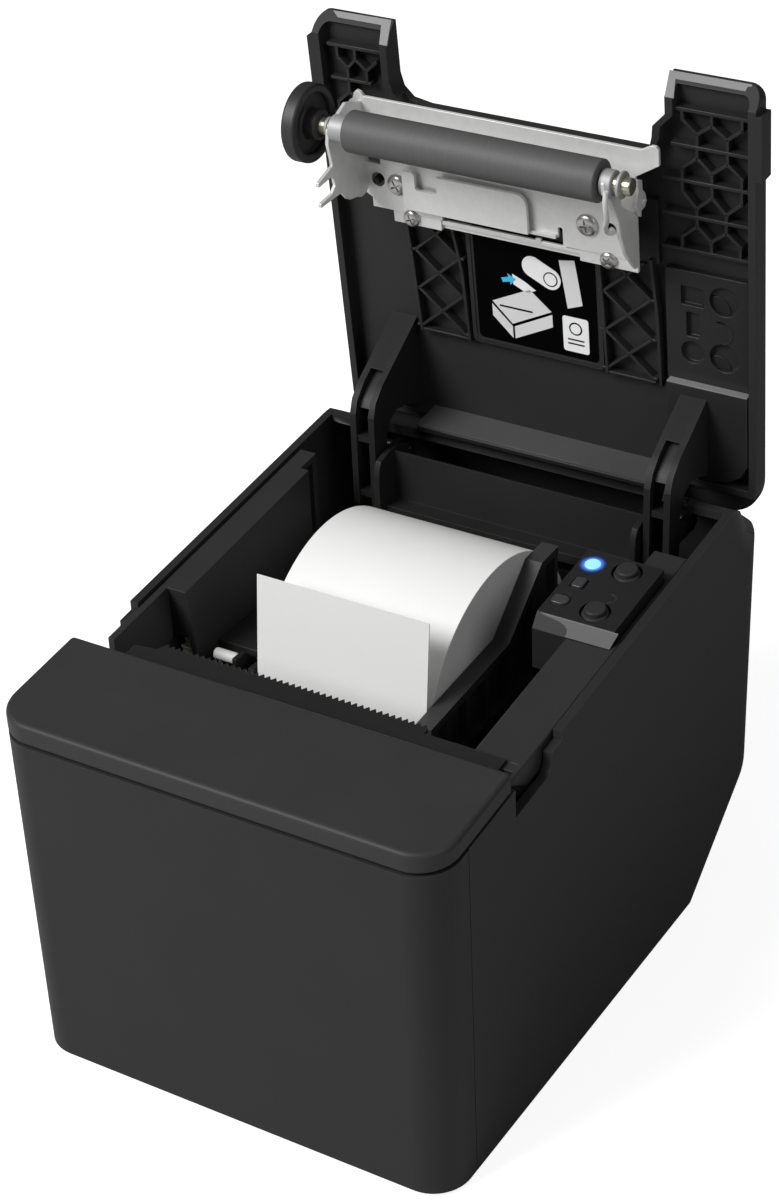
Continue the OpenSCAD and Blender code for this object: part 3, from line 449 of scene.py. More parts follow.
def body_of(node):
    """The moving body that a part of the model belongs to."""
    return next(b for b, members in frame["record"]["behaviour"]["bodies"].items() if node in members)


print("the casing rides on:", body_of("casing"))

# %% Round and dress a part of the model
CORNER = math.radians(30)


def round_edges(obj, round_mm, segments):
    """Bevel every edge that turns by more than a corner's angle."""
    bevel = obj.modifiers.new("round", "BEVEL")
    bevel.width = round_mm * MM
    bevel.segments = segments
    bevel.limit_method = "ANGLE"
    bevel.angle_limit = CORNER
    return bevel


def dress(node, material, round_mm=0.5, segments=2, merge=0.5):
    """A copy of a part with its flat faces joined and its corners rounded."""
    bm = bmesh.new()
    bm.from_mesh(frame["nodes"][node].data)
    bmesh.ops.remove_doubles(bm, verts=bm.verts, dist=1e-6)
    bmesh.ops.dissolve_limit(bm, angle_limit=math.radians(merge), verts=bm.verts, edges=bm.edges,
                             use_dissolve_boundaries=False, delimit={"NORMAL"})
    obj = new_object("dressed_" + node, bm)
    if round_mm:
        round_edges(obj, round_mm, segments).miter_outer = "MITER_ARC"
        even = obj.modifiers.new("even", "WEIGHTED_NORMAL")
        even.keep_sharp = True
        even.weight = 80
    finish_piece(obj, body_of(node), material)
    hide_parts(node)
    return obj


print("corners turn by more than", round(math.degrees(CORNER)), "degrees")

# %% [markdown]
# ## Which part gets which finish
#
# Large mouldings have soft corners of nearly a millimetre, small ones less, and sheet only loses
# its burr. The casing's faces are joined only where they agree to a twentieth of a degree, since a
# large face that is slightly bent would shade badly.

# %% Dress every part of the model
dressed = [dress(n, CHARCOAL, 0.9, 3) for n in ("front_panel", "lid_shell")]
dressed += [dress("casing", CHARCOAL, 0.7, 3, merge=0.05), dress("front_cover", COVER, 1.3, 4)]
dressed += [dress(n, INNER, 0.4) for n in (
    "roll_tray", "control_block", "tear_bar", "hinge_brackets", "lid_arms", "base_tray",
    "lid_feed_key", "lid_power_key")]
dressed += [dress(n, HOUSING, 0.4) for n in ("left_guide", "left_housing", "right_deck")]
dressed += [dress("divider", DIVIDER, 0.4)]
dressed += [dress(n, STEEL, 0.15) for n in (
    "connector_plate", "cutter_frame", "cutter_knife", "fixed_blade", "head_bracket", "head_springs",
    "key_switches", "usb_port", "serial_port", "feed_motor", "cutter_motor")]
dressed += [dress("case_screws", SCREW, 0.15), dress("thermal_head", CAST, 0.2)]
dressed += [dress(n, SATIN, 0.25) for n in (
    "key_bezel", "power_inlet", "drawer_port", "switch_frame", "power_switch", "hinge_pins")]
dressed += [dress(n, IVORY, 0.15) for n in ("drive_gear", "motor_pinion", "cutter_pinion")]
dressed += [dress("platen_shaft", SHAFT, 0.4), dress("feed_wheel", WHEEL, 0.7, 3)]
dressed += [dress("platen_rubber", RUBBER, 0.5, 3), dress("rubber_feet", RUBBER, 0.4)]
dressed += [dress("paper_roll", ROLL, 0.15), dress("roll_core", CARD, 0.2)]
dressed += [dress("paper_sheet", PAPER, 0.0)]
dressed += [dress(n, BOARD, 0.1) for n in ("panel_board", "main_board")]
print("dressed:", len(dressed))

# %% [markdown]
# ## Pieces from outlines
#
# Moulded ribs and bent sheet are flat outlines with a thickness, so one builder makes them all:
# an outline, two levels and a function that places them. Openings are cut with real boolean
# solids, so that their edges take the same bevel as the rest.

# %% Outlines
def ring(cx, cy, r, n=32, start=0.0, sweep=360.0):
    """Points on a circle or an arc."""
    steps = n if sweep == 360.0 else n + 1
    turn = [math.radians(start + sweep * i / n) for i in range(steps)]
    return [(cx + r * math.cos(t), cy + r * math.sin(t)) for t in turn]


CORNER_STEPS = 4


def slab(x0, x1, y0, y1, r=0.0):
    """A rectangle, with rounded corners if r is given."""
    if not r:
        return [(x0, y0), (x1, y0), (x1, y1), (x0, y1)]
    corners = ((x1 - r, y1 - r, 0), (x0 + r, y1 - r, 90), (x0 + r, y0 + r, 180), (x1 - r, y0 + r, 270))
    return [p for cx, cy, a in corners for p in ring(cx, cy, r, CORNER_STEPS, a, 90)]


def bar(x0, y0, x1, y1, wide):
    """A straight rib from one point to another, its ends run on by half its width."""
    long = math.hypot(x1 - x0, y1 - y0)
    ax, ay = (x1 - x0) / long * wide / 2, (y1 - y0) / long * wide / 2
    return [(x0 - ax + ay, y0 - ay - ax), (x1 + ax + ay, y1 + ay - ax),
            (x1 + ax - ay, y1 + ay + ax), (x0 - ax - ay, y0 - ay + ax)]


print("points of a rounded rectangle:", len(slab(0, 10, 0, 5, 1)))

# %% Prisms, their openings and whole pieces
def across_lid(v, w, x):
    """The same lid frame, for outlines seen from the side and extruded across it."""
    return on_lid(x, v, w)


def across(y, z, x):
    """For outlines seen from the side of the machine and extruded across it."""
    return Vector((x, y, z))


def fill(solids, place):
    """A mesh of prisms, each an outline with its two levels."""
    bm = bmesh.new()
    for outline, low, high in solids:
        lower = [bm.verts.new(place(a, b, low) * MM) for a, b in outline]
        upper = [bm.verts.new(place(a, b, high) * MM) for a, b in outline]
        bm.faces.new(lower)
        bm.faces.new(upper)
        for i in range(len(outline)):
            j = (i + 1) % len(outline)
            bm.faces.new((lower[i], lower[j], upper[j], upper[i]))
    bmesh.ops.recalc_face_normals(bm, faces=bm.faces)
    return bm


def cut(obj, solids, place):
    """Take prisms away from a piece, and keep the result as its mesh."""
    tool = new_object("cutter", fill(solids, place))
    step = obj.modifiers.new("cut", "BOOLEAN")
    step.operation = "DIFFERENCE"
    step.solver = "EXACT"
    step.object = tool
    step.use_self = True
    shaped = bpy.data.meshes.new_from_object(obj.evaluated_get(bpy.context.evaluated_depsgraph_get()))
    obj.modifiers.clear()
    obj.data = shaped
    bpy.data.objects.remove(tool)


def piece(name, solids, place, material, body, round_mm, segments=2, holes=()):
    """Prisms, less their holes, with rounded edges, a finish and a body to ride on."""
    obj = new_object(name, fill(solids, place))
    if holes:
        cut(obj, holes, place)
    if round_mm:
        round_edges(obj, round_mm, segments)
    return finish_piece(obj, body, material)


print("a builder of pieces:", piece.__name__)

# %% [markdown]
# ## Inside the lid
#
# Thin ribs stiffen the skin: hexagons with cross bars on the two ears, and a lattice of crossed
# bars on either side of the label. They are given here as lines between their joints. Their tops
# stand 3.4 mm clear of the skin, which makes the little wells between them read as deep.

# %% Ribs of the two ears
RIB_TOP, SKIN = 12.0, 15.4
honeycomb = [
    (47.5, 125.5, 47.5, 122.6), (56.3, 125.5, 56.3, 122.1), (65.3, 125.5, 65.3, 122.4),
    (47.5, 122.6, 51.9, 118.9), (56.3, 122.1, 51.9, 118.9), (56.3, 122.1, 61.0, 118.9),
    (65.3, 122.4, 61.0, 118.9), (51.9, 118.9, 51.8, 111.8), (61.0, 118.9, 60.9, 111.6),
    (51.8, 111.8, 47.2, 108.2), (51.8, 111.8, 56.2, 107.9), (60.9, 111.6, 56.2, 107.9),
    (60.9, 111.6, 65.3, 108.1), (47.2, 108.2, 47.2, 101.0), (56.2, 107.9, 56.2, 100.6),
    (65.2, 108.1, 65.1, 100.4), (47.2, 101.0, 51.5, 96.5), (56.2, 100.6, 51.5, 96.5),
    (56.2, 100.6, 60.5, 96.3), (65.1, 100.4, 60.5, 96.3), (51.5, 96.5, 51.5, 91.0),
    (60.5, 96.3, 60.4, 90.6), (51.5, 91.0, 46.8, 87.0), (51.5, 91.0, 55.8, 87.0),
    (60.4, 90.6, 55.8, 87.0), (60.4, 90.6, 64.8, 87.2), (46.8, 87.0, 46.8, 83.2),
    (55.8, 87.0, 55.8, 83.2), (64.7, 87.2, 64.6, 83.2)]
cross_bars = [(44.5, 125.7, 67.4, 125.7), (44.5, 115.0, 67.4, 115.0), (41.8, 104.5, 67.4, 104.5),
              (41.6, 93.8, 67.4, 93.8), (41.2, 83.2, 67.4, 83.2)]
left_comb = [
    (-62.7, 125.5, -62.7, 122.2), (-56.7, 125.5, -56.7, 122.2), (-62.7, 122.2, -59.6, 119.4),
    (-56.7, 122.2, -59.6, 119.4), (-56.7, 122.2, -53.2, 119.4), (-49.8, 122.4, -53.2, 119.4),
    (-59.6, 119.4, -59.8, 111.8), (-53.2, 119.4, -53.3, 116.0), (-59.8, 111.8, -64.0, 108.2),
    (-59.8, 111.8, -55.4, 108.2), (-55.4, 108.2, -55.4, 100.8), (-64.0, 108.2, -64.0, 100.8),
    (-55.4, 100.8, -59.8, 96.8), (-64.0, 100.8, -59.8, 96.8), (-59.8, 96.8, -59.8, 90.6),
    (-65.3, 115.6, -52.4, 115.6), (-66.5, 104.5, -50.0, 104.5), (-66.5, 93.8, -50.0, 93.8)]
ribs = [(bar(*line, 0.95), RIB_TOP, SKIN) for line in honeycomb + left_comb]
ribs += [(bar(*line, 1.1), RIB_TOP - 0.1, SKIN) for line in cross_bars + [(-65.4, 125.9, -48.2, 125.9)]]
print("ribs of the ears:", len(ribs))

# %% [markdown]
# ## The lattice beside the label
#
# Both sides have the same crossed bars, so one function makes them from where each side starts.
# All the ribs together are one mesh, as they are one moulding on the real lid. The label lies in a
# bed of its own, a little sunk so that its edge can't be caught.

# %% Lattice beside the label, and the frame round it
LATTICE_TOP = RIB_TOP + 0.2
LATTICE_WIDE, CELL = 15.2, 13.0
CROSSINGS = (64.0, 51.0, 38.0)


def lattice(near):
    """Two crossed cells with a roof over them, and short stubs on both sides."""
    far = near + LATTICE_WIDE
    mid = (near + far) / 2
    lines = []
    for v in CROSSINGS[:2]:
        lines += [(near, v, far, v - CELL, 0.9), (far, v, near, v - CELL, 0.9)]
    lines += [(near, 64.0, mid, 70.6, 0.9), (far, 64.0, mid, 70.6, 0.9)]
    lines += [(mid, 70.6, mid - 5.5, 75.5, 0.9), (mid, 70.6, mid + 5.5, 75.5, 0.9)]
    lines += [(near - 0.2, 36.8, far + 0.6, 36.8, 0.8)]
    for v in CROSSINGS:
        lines += [(near - 1.4, v, near, v, 0.8), (far, v, far + 1.2, v, 0.8)]
    return [(bar(*line), LATTICE_TOP, SKIN) for line in lines]


ribs += lattice(-42.4) + lattice(21.0)
side_frames = [
    (-45.0, 77.0, -43.9, 64.0), (-43.9, 64.0, -42.6, 36.6), (-29.4, 77.0, -26.6, 60.0),
    (-26.6, 60.0, -25.7, 36.6), (19.6, 77.0, 20.5, 60.0), (20.5, 60.0, 21.2, 36.6),
    (36.6, 77.0, 38.2, 60.0), (38.2, 60.0, 38.9, 36.6)]
ribs += [(bar(*line, 1.0), RIB_TOP, SKIN) for line in side_frames]
bed = [(slab(-24.6, 19.9, 36.6, 84.0, 1.6), 12.7, SKIN), (slab(-44.4, 38.8, 76.0, 96.0), 13.2, SKIN)]
lid_rib_piece = piece("lid_rib_field", ribs, on_lid, LIDSIDE, "lid", 0.18, 2)
label_bed = piece("label_bed", bed, on_lid, LIDSIDE, "lid", 0.4, 2,
                  holes=[(slab(-23.4, 18.9, 38.0, 90.0, 1.4), 12.0, 13.0)])
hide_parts("lid_ribs")
print(lid_rib_piece.name, "of", len(ribs), "ribs;", label_bed.name)

# %% [markdown]
# ## The pad, the step and the ledge
#
# The pad lies over the keys when the lid is shut, and its wells are cut with real boolean solids so
# that they show true edges. Its top is kept low, so that most of it clears the panel when the lid
# is shut. The ledge is the wall that closes the lid's hinge end.

# %% The pad with its round and square wells, the step below it and the end ledge
PAD_TOP, WELL_FLOOR = 13.25, 14.8
CLEAR_OF_PAD = 11.0
well_outlines = [slab(45.4, 52.7, 64.7, 70.7, 0.5), ring(59.0, 68.0, 4.6, 40),
                 slab(47.0, 51.1, 54.5, 62.5, 0.4), ring(48.8, 49.4, 3.6, 36), ring(58.9, 49.6, 4.6, 40)]
wells = [(outline, CLEAR_OF_PAD, WELL_FLOOR) for outline in well_outlines]
pad = piece("key_pad", [(slab(40.6, 66.5, 33.4, 75.7, 0.8), PAD_TOP, SKIN)], on_lid, LIDSIDE, "lid", 0.16,
            2, holes=wells)
crescent = ring(58.2, 57.8, 3.6, 16, -80, 190) + ring(57.8, 58.0, 3.55, 16, 110, -190)
mark = piece("pad_crescent", [(crescent, PAD_TOP - 0.2, PAD_TOP + 0.2)], on_lid, LIDSIDE, "lid", 0.05, 1)
STEP_TOP, LEDGE_TOP, RIM_TOP = 10.4, 3.6, 10.75
step_outline = [(41.4, 39.7), (67.3, 39.7), (67.3, 16.0), (65.0, 11.6), (61.0, 9.0), (55.5, 8.0),
                (41.4, 8.0)]
step = piece("hinge_step", [(step_outline, STEP_TOP, SKIN)], on_lid, LIDSIDE, "lid", 0.35, 3)
ledge_walls = [(slab(-42.6, 42.6, 4.7, 6.6), LEDGE_TOP, RIM_TOP), (slab(-66, 66, 5.2, 7.0), 10.9, SKIN)]
ledge = piece("end_ledge", ledge_walls, on_lid, LIDSIDE, "lid", 0.3, 3)
print(pad.name, mark.name, step.name, ledge.name)

# %% [markdown]
# ## The platen frame
#
# One pressed sheet carries the roller: a web that lies along the lid, two cheeks bent forward from
# it with the bearings, and a tongue pushed out of its middle. It is made as the sheet parts it
# consists of, a little over a millimetre thick, with its real holes and slots, because their dark
# openings and thin bright edges are what tells pressed steel from plastic.

# %% Web, tongue and lower bar
WEB, SHEET = 5.0, 1.1
THROUGH = (4, 7)
DOWEL = (-48.2, 89.6)
web_outline = [(-53.2, 109.6), (-55.2, 110.8), (-55.6, 113.2), (-54.2, 114.0), (-53.6, 116.0),
               (-52.6, 116.9), (-51.2, 116.5), (-50.4, 115.3), (38.4, 115.3), (41.6, 117.0),
               (43.0, 117.0), (43.8, 116.0), (43.8, 111.4), (36.4, 106.8), (36.4, 97.0), (36.4, 80.4),
               (12.4, 80.4), (11.8, 80.4), (-50.8, 80.4), (-50.8, 83.3), (-52.6, 84.4), (-53.2, 86.0)]
hole_outlines = [slab(-53.0, -47.0, 94.6, 99.0), ring(*DOWEL, 2.2, 24), ring(28.0, 89.0, 1.9, 24),
                 slab(-27.2, 11.6, 80.0, 82.9), slab(11.2, 12.6, 79, 86.2, 0.5)]
web_holes = [(outline, *THROUGH) for outline in hole_outlines]
web = piece("frame_web", [(web_outline, WEB, WEB + SHEET)], on_lid, STEEL, "lid", 0.22, 2, holes=web_holes)
tongue_outline = [(-38.4, 83.2), (2.6, 83.2), (2.6, 92.4)] + ring(-0.6, 92.2, 3.1, 8, 0, 90) + [
    (-26.9, 95.3), (-26.9, 90.6), (-27.6, 89.9), (-33.4, 89.9), (-34.2, 90.6), (-34.2, 94.6), (-35.0, 95.3),
    (-38.4, 95.3)]
tongue_solids = [(tongue_outline, WEB - 2.5, WEB - 1.3),
                 (slab(2.0, 11.0, 82.9, 83.9, 0.4), WEB - 1.2, WEB + 0.6)]
tongue = piece("pressed_tongue", tongue_solids, on_lid, STEEL, "lid", 0.3, 3)
bar_solids = [(slab(-44.2, -28.0, 76.6, 81.0, 0.3), WEB + 0.4, WEB + 1.6),
              (slab(17.6, 36.2, 76.6, 81.0, 0.3), WEB + 0.4, WEB + 1.6),
              (slab(-29.0, 18.6, 78.5, 79.9), WEB + 0.8, WEB + 1.8),
              (slab(-29.0, 18.6, 77.0, 78.4), WEB + 1.6, WEB + 2.4),
              (slab(3.2, 5.0, 79.4, 80.8), WEB + 0.6, WEB + 1.6)]
lower_bar = piece("lower_bar", bar_solids, on_lid, STEEL, "lid", 0.15, 2)
# A satin black strip behind the slot is painted shade, so that the opening reads dark.
shade_strip = piece("slot_painted_shade", [(slab(-27.6, 12.2, 80.0, 83.4), WEB + 2.6, WEB + 3.4)], on_lid, SATIN,
                    "lid", 0.1, 1)
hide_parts("platen_frame")
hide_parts("frame_bar")
print(web.name, tongue.name, lower_bar.name, shade_strip.name)

# %% [markdown]
# ## Cheeks and bearings
#
# The cheeks are the same sheet bent forward, so they are outlines seen from the side. The bushes
# and the retaining disc sit in and beside them, round the roller's axle. A small lobe of sheet is
# fixed to the right-hand cheek.

# %% Cheeks with the bearings
left_cheek = [(116.6, -2.5), (114.4, -8.5), (112.6, -12.6), (108.6, -13.6), (104.0, -12.8),
              (101.6, -12.5), (99.9, -20.5), (98.5, -20.5), (98.6, -14.2), (97.6, -12.6), (95.2, -12.2),
              (93.6, -14.4), (93.4, -20.5), (92.1, -20.5), (91.6, -9.5), (88.4, -7.0), (87.4, -5.5),
              (86.6, -2.0), (85.4, 0.5), (85.6, 3.0), (88.0, 6.0), (113.4, 6.0)]
right_cheek = [(112.0, -4.6), (115.8, -9.0), (113.5, -13.4), (110.0, -13.2), (107.1, -10.2),
               (101.7, -7.5), (98.4, -5.9), (92.2, -4.6), (85.9, -2.0), (79.0, 3.4), (79.0, 5.6),
               (95.0, 5.6), (102.3, -3.8)]
cheeks = piece("bearing_cheeks", [(left_cheek, -52.6, -51.4), (right_cheek, 35.4, 36.6)], across_lid, STEEL,
               "lid", 0.25, 2)
AXLE = (112.1, -9.55)
bush_solids = [(ring(*AXLE, 3.9, 36), -51.6, -46.2), (ring(*AXLE, 2.9, 36), -53.5, -52.4),
               (ring(*AXLE, 3.7, 36), 34.4, 38.0)]
bushes = piece("axle_bushes", bush_solids, across_lid, CAST, "lid", 0.35, 3)
disc = piece("retaining_disc", [(ring(*AXLE, 3.9, 40), 39.6, 40.6)], across_lid, CAST, "lid", 0.3, 3)
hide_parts("bearing_bushes")
lobe_outline = [(107.2, 2.8), (105.6, 6.2), (102.8, 6.2), (101.0, 7.8), (98.4, 8.6), (96.9, 7.4),
                (96.6, 5.2), (94.8, 5.0), (99.5, 1.6), (103.4, 3.6)]
lobe = piece("cheek_lobe", [(lobe_outline, 36.7, 38.0), (ring(99.2, 6.2, 0.9, 16), 38.0, 38.5)], across_lid,
             STEEL, "lid", 0.2, 2)
print(cheeks.name, bushes.name, disc.name, lobe.name)

# %% [markdown]
# ## Wire clip and screws
#
# The clip is a wire bent through a few points, so it is a curve with thickness, turned into a mesh.
# A screw head is a stack of rings that grow smaller, with its cross cut out.

# %% Wire clip beside the right-hand bearing
def wire(name, path, r, material, body):
    """A bent wire through the given points, as a skin round its path."""
    curve = bpy.data.curves.new(name, "CURVE")
    curve.dimensions = "3D"
    curve.bevel_depth = r * MM
    curve.bevel_resolution = 3
    curve.use_fill_caps = True
    line = curve.splines.new("BEZIER")
    line.bezier_points.add(len(path) - 1)
    for knot, point in zip(line.bezier_points, path):
        knot.co = point * MM
        knot.handle_left_type = "AUTO"
        knot.handle_right_type = "AUTO"
    bent = bpy.data.objects.new(name + "_path", curve)
    bpy.context.scene.collection.objects.link(bent)
    mesh = bpy.data.meshes.new_from_object(bent.evaluated_get(bpy.context.evaluated_depsgraph_get()))
    bpy.data.objects.remove(bent)
    obj = bpy.data.objects.new(name, mesh)
    bpy.context.scene.collection.objects.link(obj)
    return finish_piece(obj, body, material)


clip_path = [(37.6, 112.2, -14.6), (37.5, 108.2, -15.0), (36.9, 103.0, -13.4), (34.8, 98.6, -10.4),
             (32.8, 94.0, -5.0), (31.0, 90.6, 1.2), (28.4, 89.0, 5.2)]
clip = wire("bearing_clip", [on_lid(*knot) for knot in clip_path], 0.75, STEEL, "lid")
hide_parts("bearing_lever")
print(clip.name)

# %% Screws, and the dowel that places the frame
DOME_SIDES = 36


def dome(name, rows):
    """A closed skin over a stack of rings, each given as its points in millimetres."""
    bm = bmesh.new()
    rings = [[bm.verts.new(point * MM) for point in row] for row in rows]
    for a, b in zip(rings, rings[1:]):
        for i in range(DOME_SIDES):
            j = (i + 1) % DOME_SIDES
            bm.faces.new((a[i], a[j], b[j], b[i]))
    bm.faces.new(rings[-1])
    bm.faces.new(rings[0])
    bmesh.ops.recalc_face_normals(bm, faces=bm.faces)
    return new_object(name, bm)


def pan_screw(name, u, v, w, r, turn):
    """A domed screw head seen from inside the lid, with its cross-shaped recess."""
    profile = ((r, 0.0), (r, 0.5), (r * 0.93, 0.95), (r * 0.72, 1.35), (r * 0.35, 1.6))
    rows = [[on_lid(u + x, v + y, w - h) for x, y in ring(0, 0, s, DOME_SIDES)] for s, h in profile]
    obj = dome(name, rows)
    half = r * 0.5
    arms = []
    for t in (math.radians(turn), math.radians(turn) + math.pi / 2):
        du, dv = half * math.cos(t), half * math.sin(t)
        arms += [(bar(u - du, v - dv, u + du, v + dv, r * 0.17), w - 3.0, w - 0.7)]
    cut(obj, arms, on_lid)
    return finish_piece(obj, "lid", SCREW, 40)


screws = [pan_screw("web_screw_left", -41.5, 89.2, WEB, 3.3, 30),
          pan_screw("web_screw_right", 20.8, 89.0, WEB, 3.4, 12),
          pan_screw("bar_screw_left", -37.8, 79.0, WEB + 0.4, 2.7, 25),
          pan_screw("bar_screw_right", 27.0, 79.0, WEB + 0.4, 2.7, 55)]
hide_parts("frame_screws")
dowel = piece("locating_dowel", [(ring(*DOWEL, 1.25, 24), 3.6, 9.0)], on_lid, SATIN, "lid", 0.3, 3)
print([s.name for s in screws], dowel.name)

# %% [markdown]
# ## The label
#
# The label is a plain black sticker with a small picture of our own: a roll, an arrow and an open
# tray. Its shapes are thin printed layers just above the sticker, so they stay crisp at any size.

# %% Label and its picture
STICKER = (12.85, 13.02)
label = piece("black_label", [(slab(-22.4, 18.2, 38.5, 86.0, 1.5), *STICKER)], on_lid, STICKER_BLACK, "lid",
              0.05, 1)
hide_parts("lid_label")
INK, LINES, DETAIL, ARROW = (12.72, 12.84), (12.68, 12.71), (12.64, 12.67), (12.64, 12.7)
tray = [(-17.0, 52.0), (-4.0, 58.5), (3.0, 52.5), (-10.5, 45.5)]
tray_front = [(-17.2, 51.0), (-10.6, 44.6), (-10.6, 40.6), (-17.2, 47.0)]
tray_side = [(-9.9, 44.7), (3.2, 51.6), (3.2, 47.4), (-9.9, 40.6)]
strip = [(6.4, 70.5), (11.6, 71.5), (13.6, 57.0), (8.6, 55.0)]
grey_ink = piece("picture_tray", [(outline, *INK) for outline in (tray, tray_front, tray_side, strip)],
                 on_lid, INK_GREY, "lid", 0)
ROLL_HUB, CARD_HUB = (3.3, 63.5), (10.9, 48.6)
roll_body = ring(-2.6, 66.4, 3.5, 14, 60, 180) + ring(3.2, 63.6, 3.5, 14, 240, 180)
loose_end = [(-9.6, 62.6), (-5.6, 60.9), (-1.8, 58.6), (-5.2, 57.2), (-9.4, 59.2)]
card = slab(6.6, 15.2, 40.6, 52.4, 0.9)
white_ink = piece("picture_roll", [(outline, *INK) for outline in (roll_body, loose_end, card)],
                  on_lid, INK_WHITE, "lid", 0)
line_outlines = [ring(*ROLL_HUB, 2.4, 24), slab(-14.6, -3.4, 50.7, 51.3), ring(*CARD_HUB, 2.2, 24),
                 bar(8.4, 43.4, 13.4, 43.4, 0.5), bar(8.4, 44.8, 13.4, 44.8, 0.5)]
dark_ink = piece("picture_lines", [(outline, *LINES) for outline in line_outlines], on_lid,
                 STICKER_BLACK, "lid", 0)
hubs = [ring(*ROLL_HUB, 2.0, 24), ring(*CARD_HUB, 1.7, 24)]
light_ink = piece("picture_hub", [(outline, *DETAIL) for outline in hubs], on_lid, INK_WHITE, "lid", 0)
arrow = [(-13.4, 60.6), (-10.9, 61.4), (-11.3, 62.5), (-8.4, 61.1), (-10.3, 58.8), (-10.5, 59.9),
         (-12.9, 59.2)]
blue_ink = piece("picture_arrow", [(arrow, *ARROW)], on_lid, INK_BLUE, "lid", 0)
print([o.name for o in (label, grey_ink, white_ink, dark_ink, light_ink, blue_ink)])

# %% [markdown]
# ## Faces with a painted highlight
#
# The sloped ends of the ears, the front of the rear ledge and the edge of the small step look much
# paler than the plastic beside them, as a lamp mirrored in them would make them. A lamp placed for
# that would upset the rest, so thin plates with a pale colour of their own carry a painted highlight
# instead. It is a shortcut: the paleness stays when the light moves.

# %% Ends of the ears, the ledge and the step
SIGHT_ASIDE = 0.657
END_DRAWN_V, END_V, END_W = 128.55, 129.2, 10.75
END_STRETCH, END_RISE = 1.592, 1.1346
END_NORMAL = (0.75, -0.66)


def on_ear_end(u, v, lift):
    """A point drawn in the ribs' plane, moved along the line of sight to an ear's sloped end."""
    run = (v - END_DRAWN_V) / END_STRETCH
    w = END_W + END_RISE * run
    aside = SIGHT_ASIDE * (w - RIB_TOP)
    return on_lid(u - aside, END_V + run + END_NORMAL[0] * lift, w + END_NORMAL[1] * lift)


def facing_hinge(u, w, v):
    """For outlines on walls that stand across the lid."""
    return on_lid(u, v, w)


right_rim = [(42.3, 128.4), (44.9, 136.4), (69.4, 136.4), (69.0, 135.7), (67.9, 135.5), (67.0, 134.1),
             (46.4, 134.1), (45.0, 128.4)]
left_rim = [(-45.2, 128.5), (-42.8, 136.6), (-62.4, 136.4), (-61.0, 134.5), (-46.4, 134.5), (-47.7, 128.5)]
# The ear ends, the ledge front and the step edge carry a painted highlight in their pale colour.
rims = piece("ear_rim_highlights", [(right_rim, -0.3, 0.3), (left_rim, -0.3, 0.3)], on_ear_end, HIGHLIGHT_PAINT, "lid",
             0.03, 1)
pale = piece("ledge_highlight_plates", [(slab(-42.5, 42.5, 3.7, 15.2), 6.3, 7.46)], facing_hinge, LEDGE_HIGHLIGHT_PAINT, "lid",
               0.05, 1)
step_edge = slab(41.5, 67.2, 10.5, 13.2)
step_bar = piece("step_highlight_plate", [(step_edge, 39.5, 39.76)], facing_hinge, HIGHLIGHT_PAINT, "lid", 0.05, 1)
print(rims.name, pale.name, step_bar.name)

# %% [markdown]
# ## Between the plates of the hinge arms
#
# Each arm is a pair of thin plates with a web between them. The web is one outline seen from the
# side, set a little back from the edges of the plates so that they keep their shadow.

# %% Webs of the two hinge arms
arm_fill = [(62.4, 139.6), (63.6, 141.8), (67.8, 145.2), (84.8, 155.4), (88.2, 156.4), (88.6, 150.0),
            (72.0, 139.0)]
arm_webs = piece("arm_fronts", [(arm_fill, 48.0, 52.5), (arm_fill, -52.5, -48.0)], across, HOUSING, "lid",
                 0.2, 2)
print(arm_webs.name)

# %% [markdown]
# ## The key panel
#
# The lamp is a small glowing dome with a disc of fading light round it, made with transparency.
# The apron before the keys is a thin skin on the block's slope. It has a coarser grain than the
# block, and a paler colour that is a painted highlight, as on the faces above.

# %% Apron, lamp and its halo
PANEL_RISE = 2.5
APRON_DRAWN, APRON_DROP = 7.6, 1.2
ASIDE_PER_RISE, BACK_PER_RISE = 0.74, 1.28


def on_apron(x, y, level):
    """A point drawn in the rim's plane, moved along the line of sight to the slope before the keys."""
    h = -APRON_DROP + y / APRON_DRAWN * (PANEL_RISE + APRON_DROP)
    back = y - BACK_PER_RISE * h
    return Vector((x + ASIDE_PER_RISE * h, back, rim(back) + h + level))


def on_panel(x, y, h):
    """A height over the panel's top, which slopes like the casing's rim."""
    return Vector((x, y, rim(y) + PANEL_RISE + h))


apron_outline = [(40.3, 7.5), (64.6, 7.5), (65.9, 0.1), (52.1, 0.1), (51.8, 1.8), (50.8, 3.6), (48.9, 5.1),
                 (46.4, 6.0), (42.6, 6.6)]
apron = piece("panel_apron", [(apron_outline, -0.3, 0.06)], on_apron, APRON, "housing", 0.04, 1)
lens_profile = ((LAMP_RADIUS, -0.6), (LAMP_RADIUS, 0.2), (2.0, 0.5), (1.4, 0.72), (0.7, 0.8))
lens_rows = [[on_panel(LAMP_X + x, LAMP_Y + y, h) for x, y in ring(0, 0, s, DOME_SIDES)]
             for s, h in lens_profile]
lens_piece = finish_piece(dome("status_dome", lens_rows), "housing", LIT)
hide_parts("status_lens")
halo = piece("status_halo", [(ring(LAMP_X, LAMP_Y, 5.0, 48), 0.06, 0.08)], on_panel, HALO, "housing", 0)
print(apron.name, lens_piece.name, halo.name)

# %% [markdown]
# ## Keys and lenses
#
# Each key is a round cap on a wider seat, so that it stands proud with a groove round it. The
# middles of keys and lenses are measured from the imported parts, and each cap rides on the body that
# its key moves. The lenses lie in a dark bed that closes the opening under them.

# %% Keys
CAP_RADIUS, CAP_RISE = 3.15, 1.25
SEAT_RADIUS, SEAT_LEVEL = 3.9, -0.25
LENS_LEVELS = (-0.8, 0.6)


def middle(node):
    """The middle of a part's box, in millimetres."""
    low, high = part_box(node)
    return (low + high) / 2 / MM


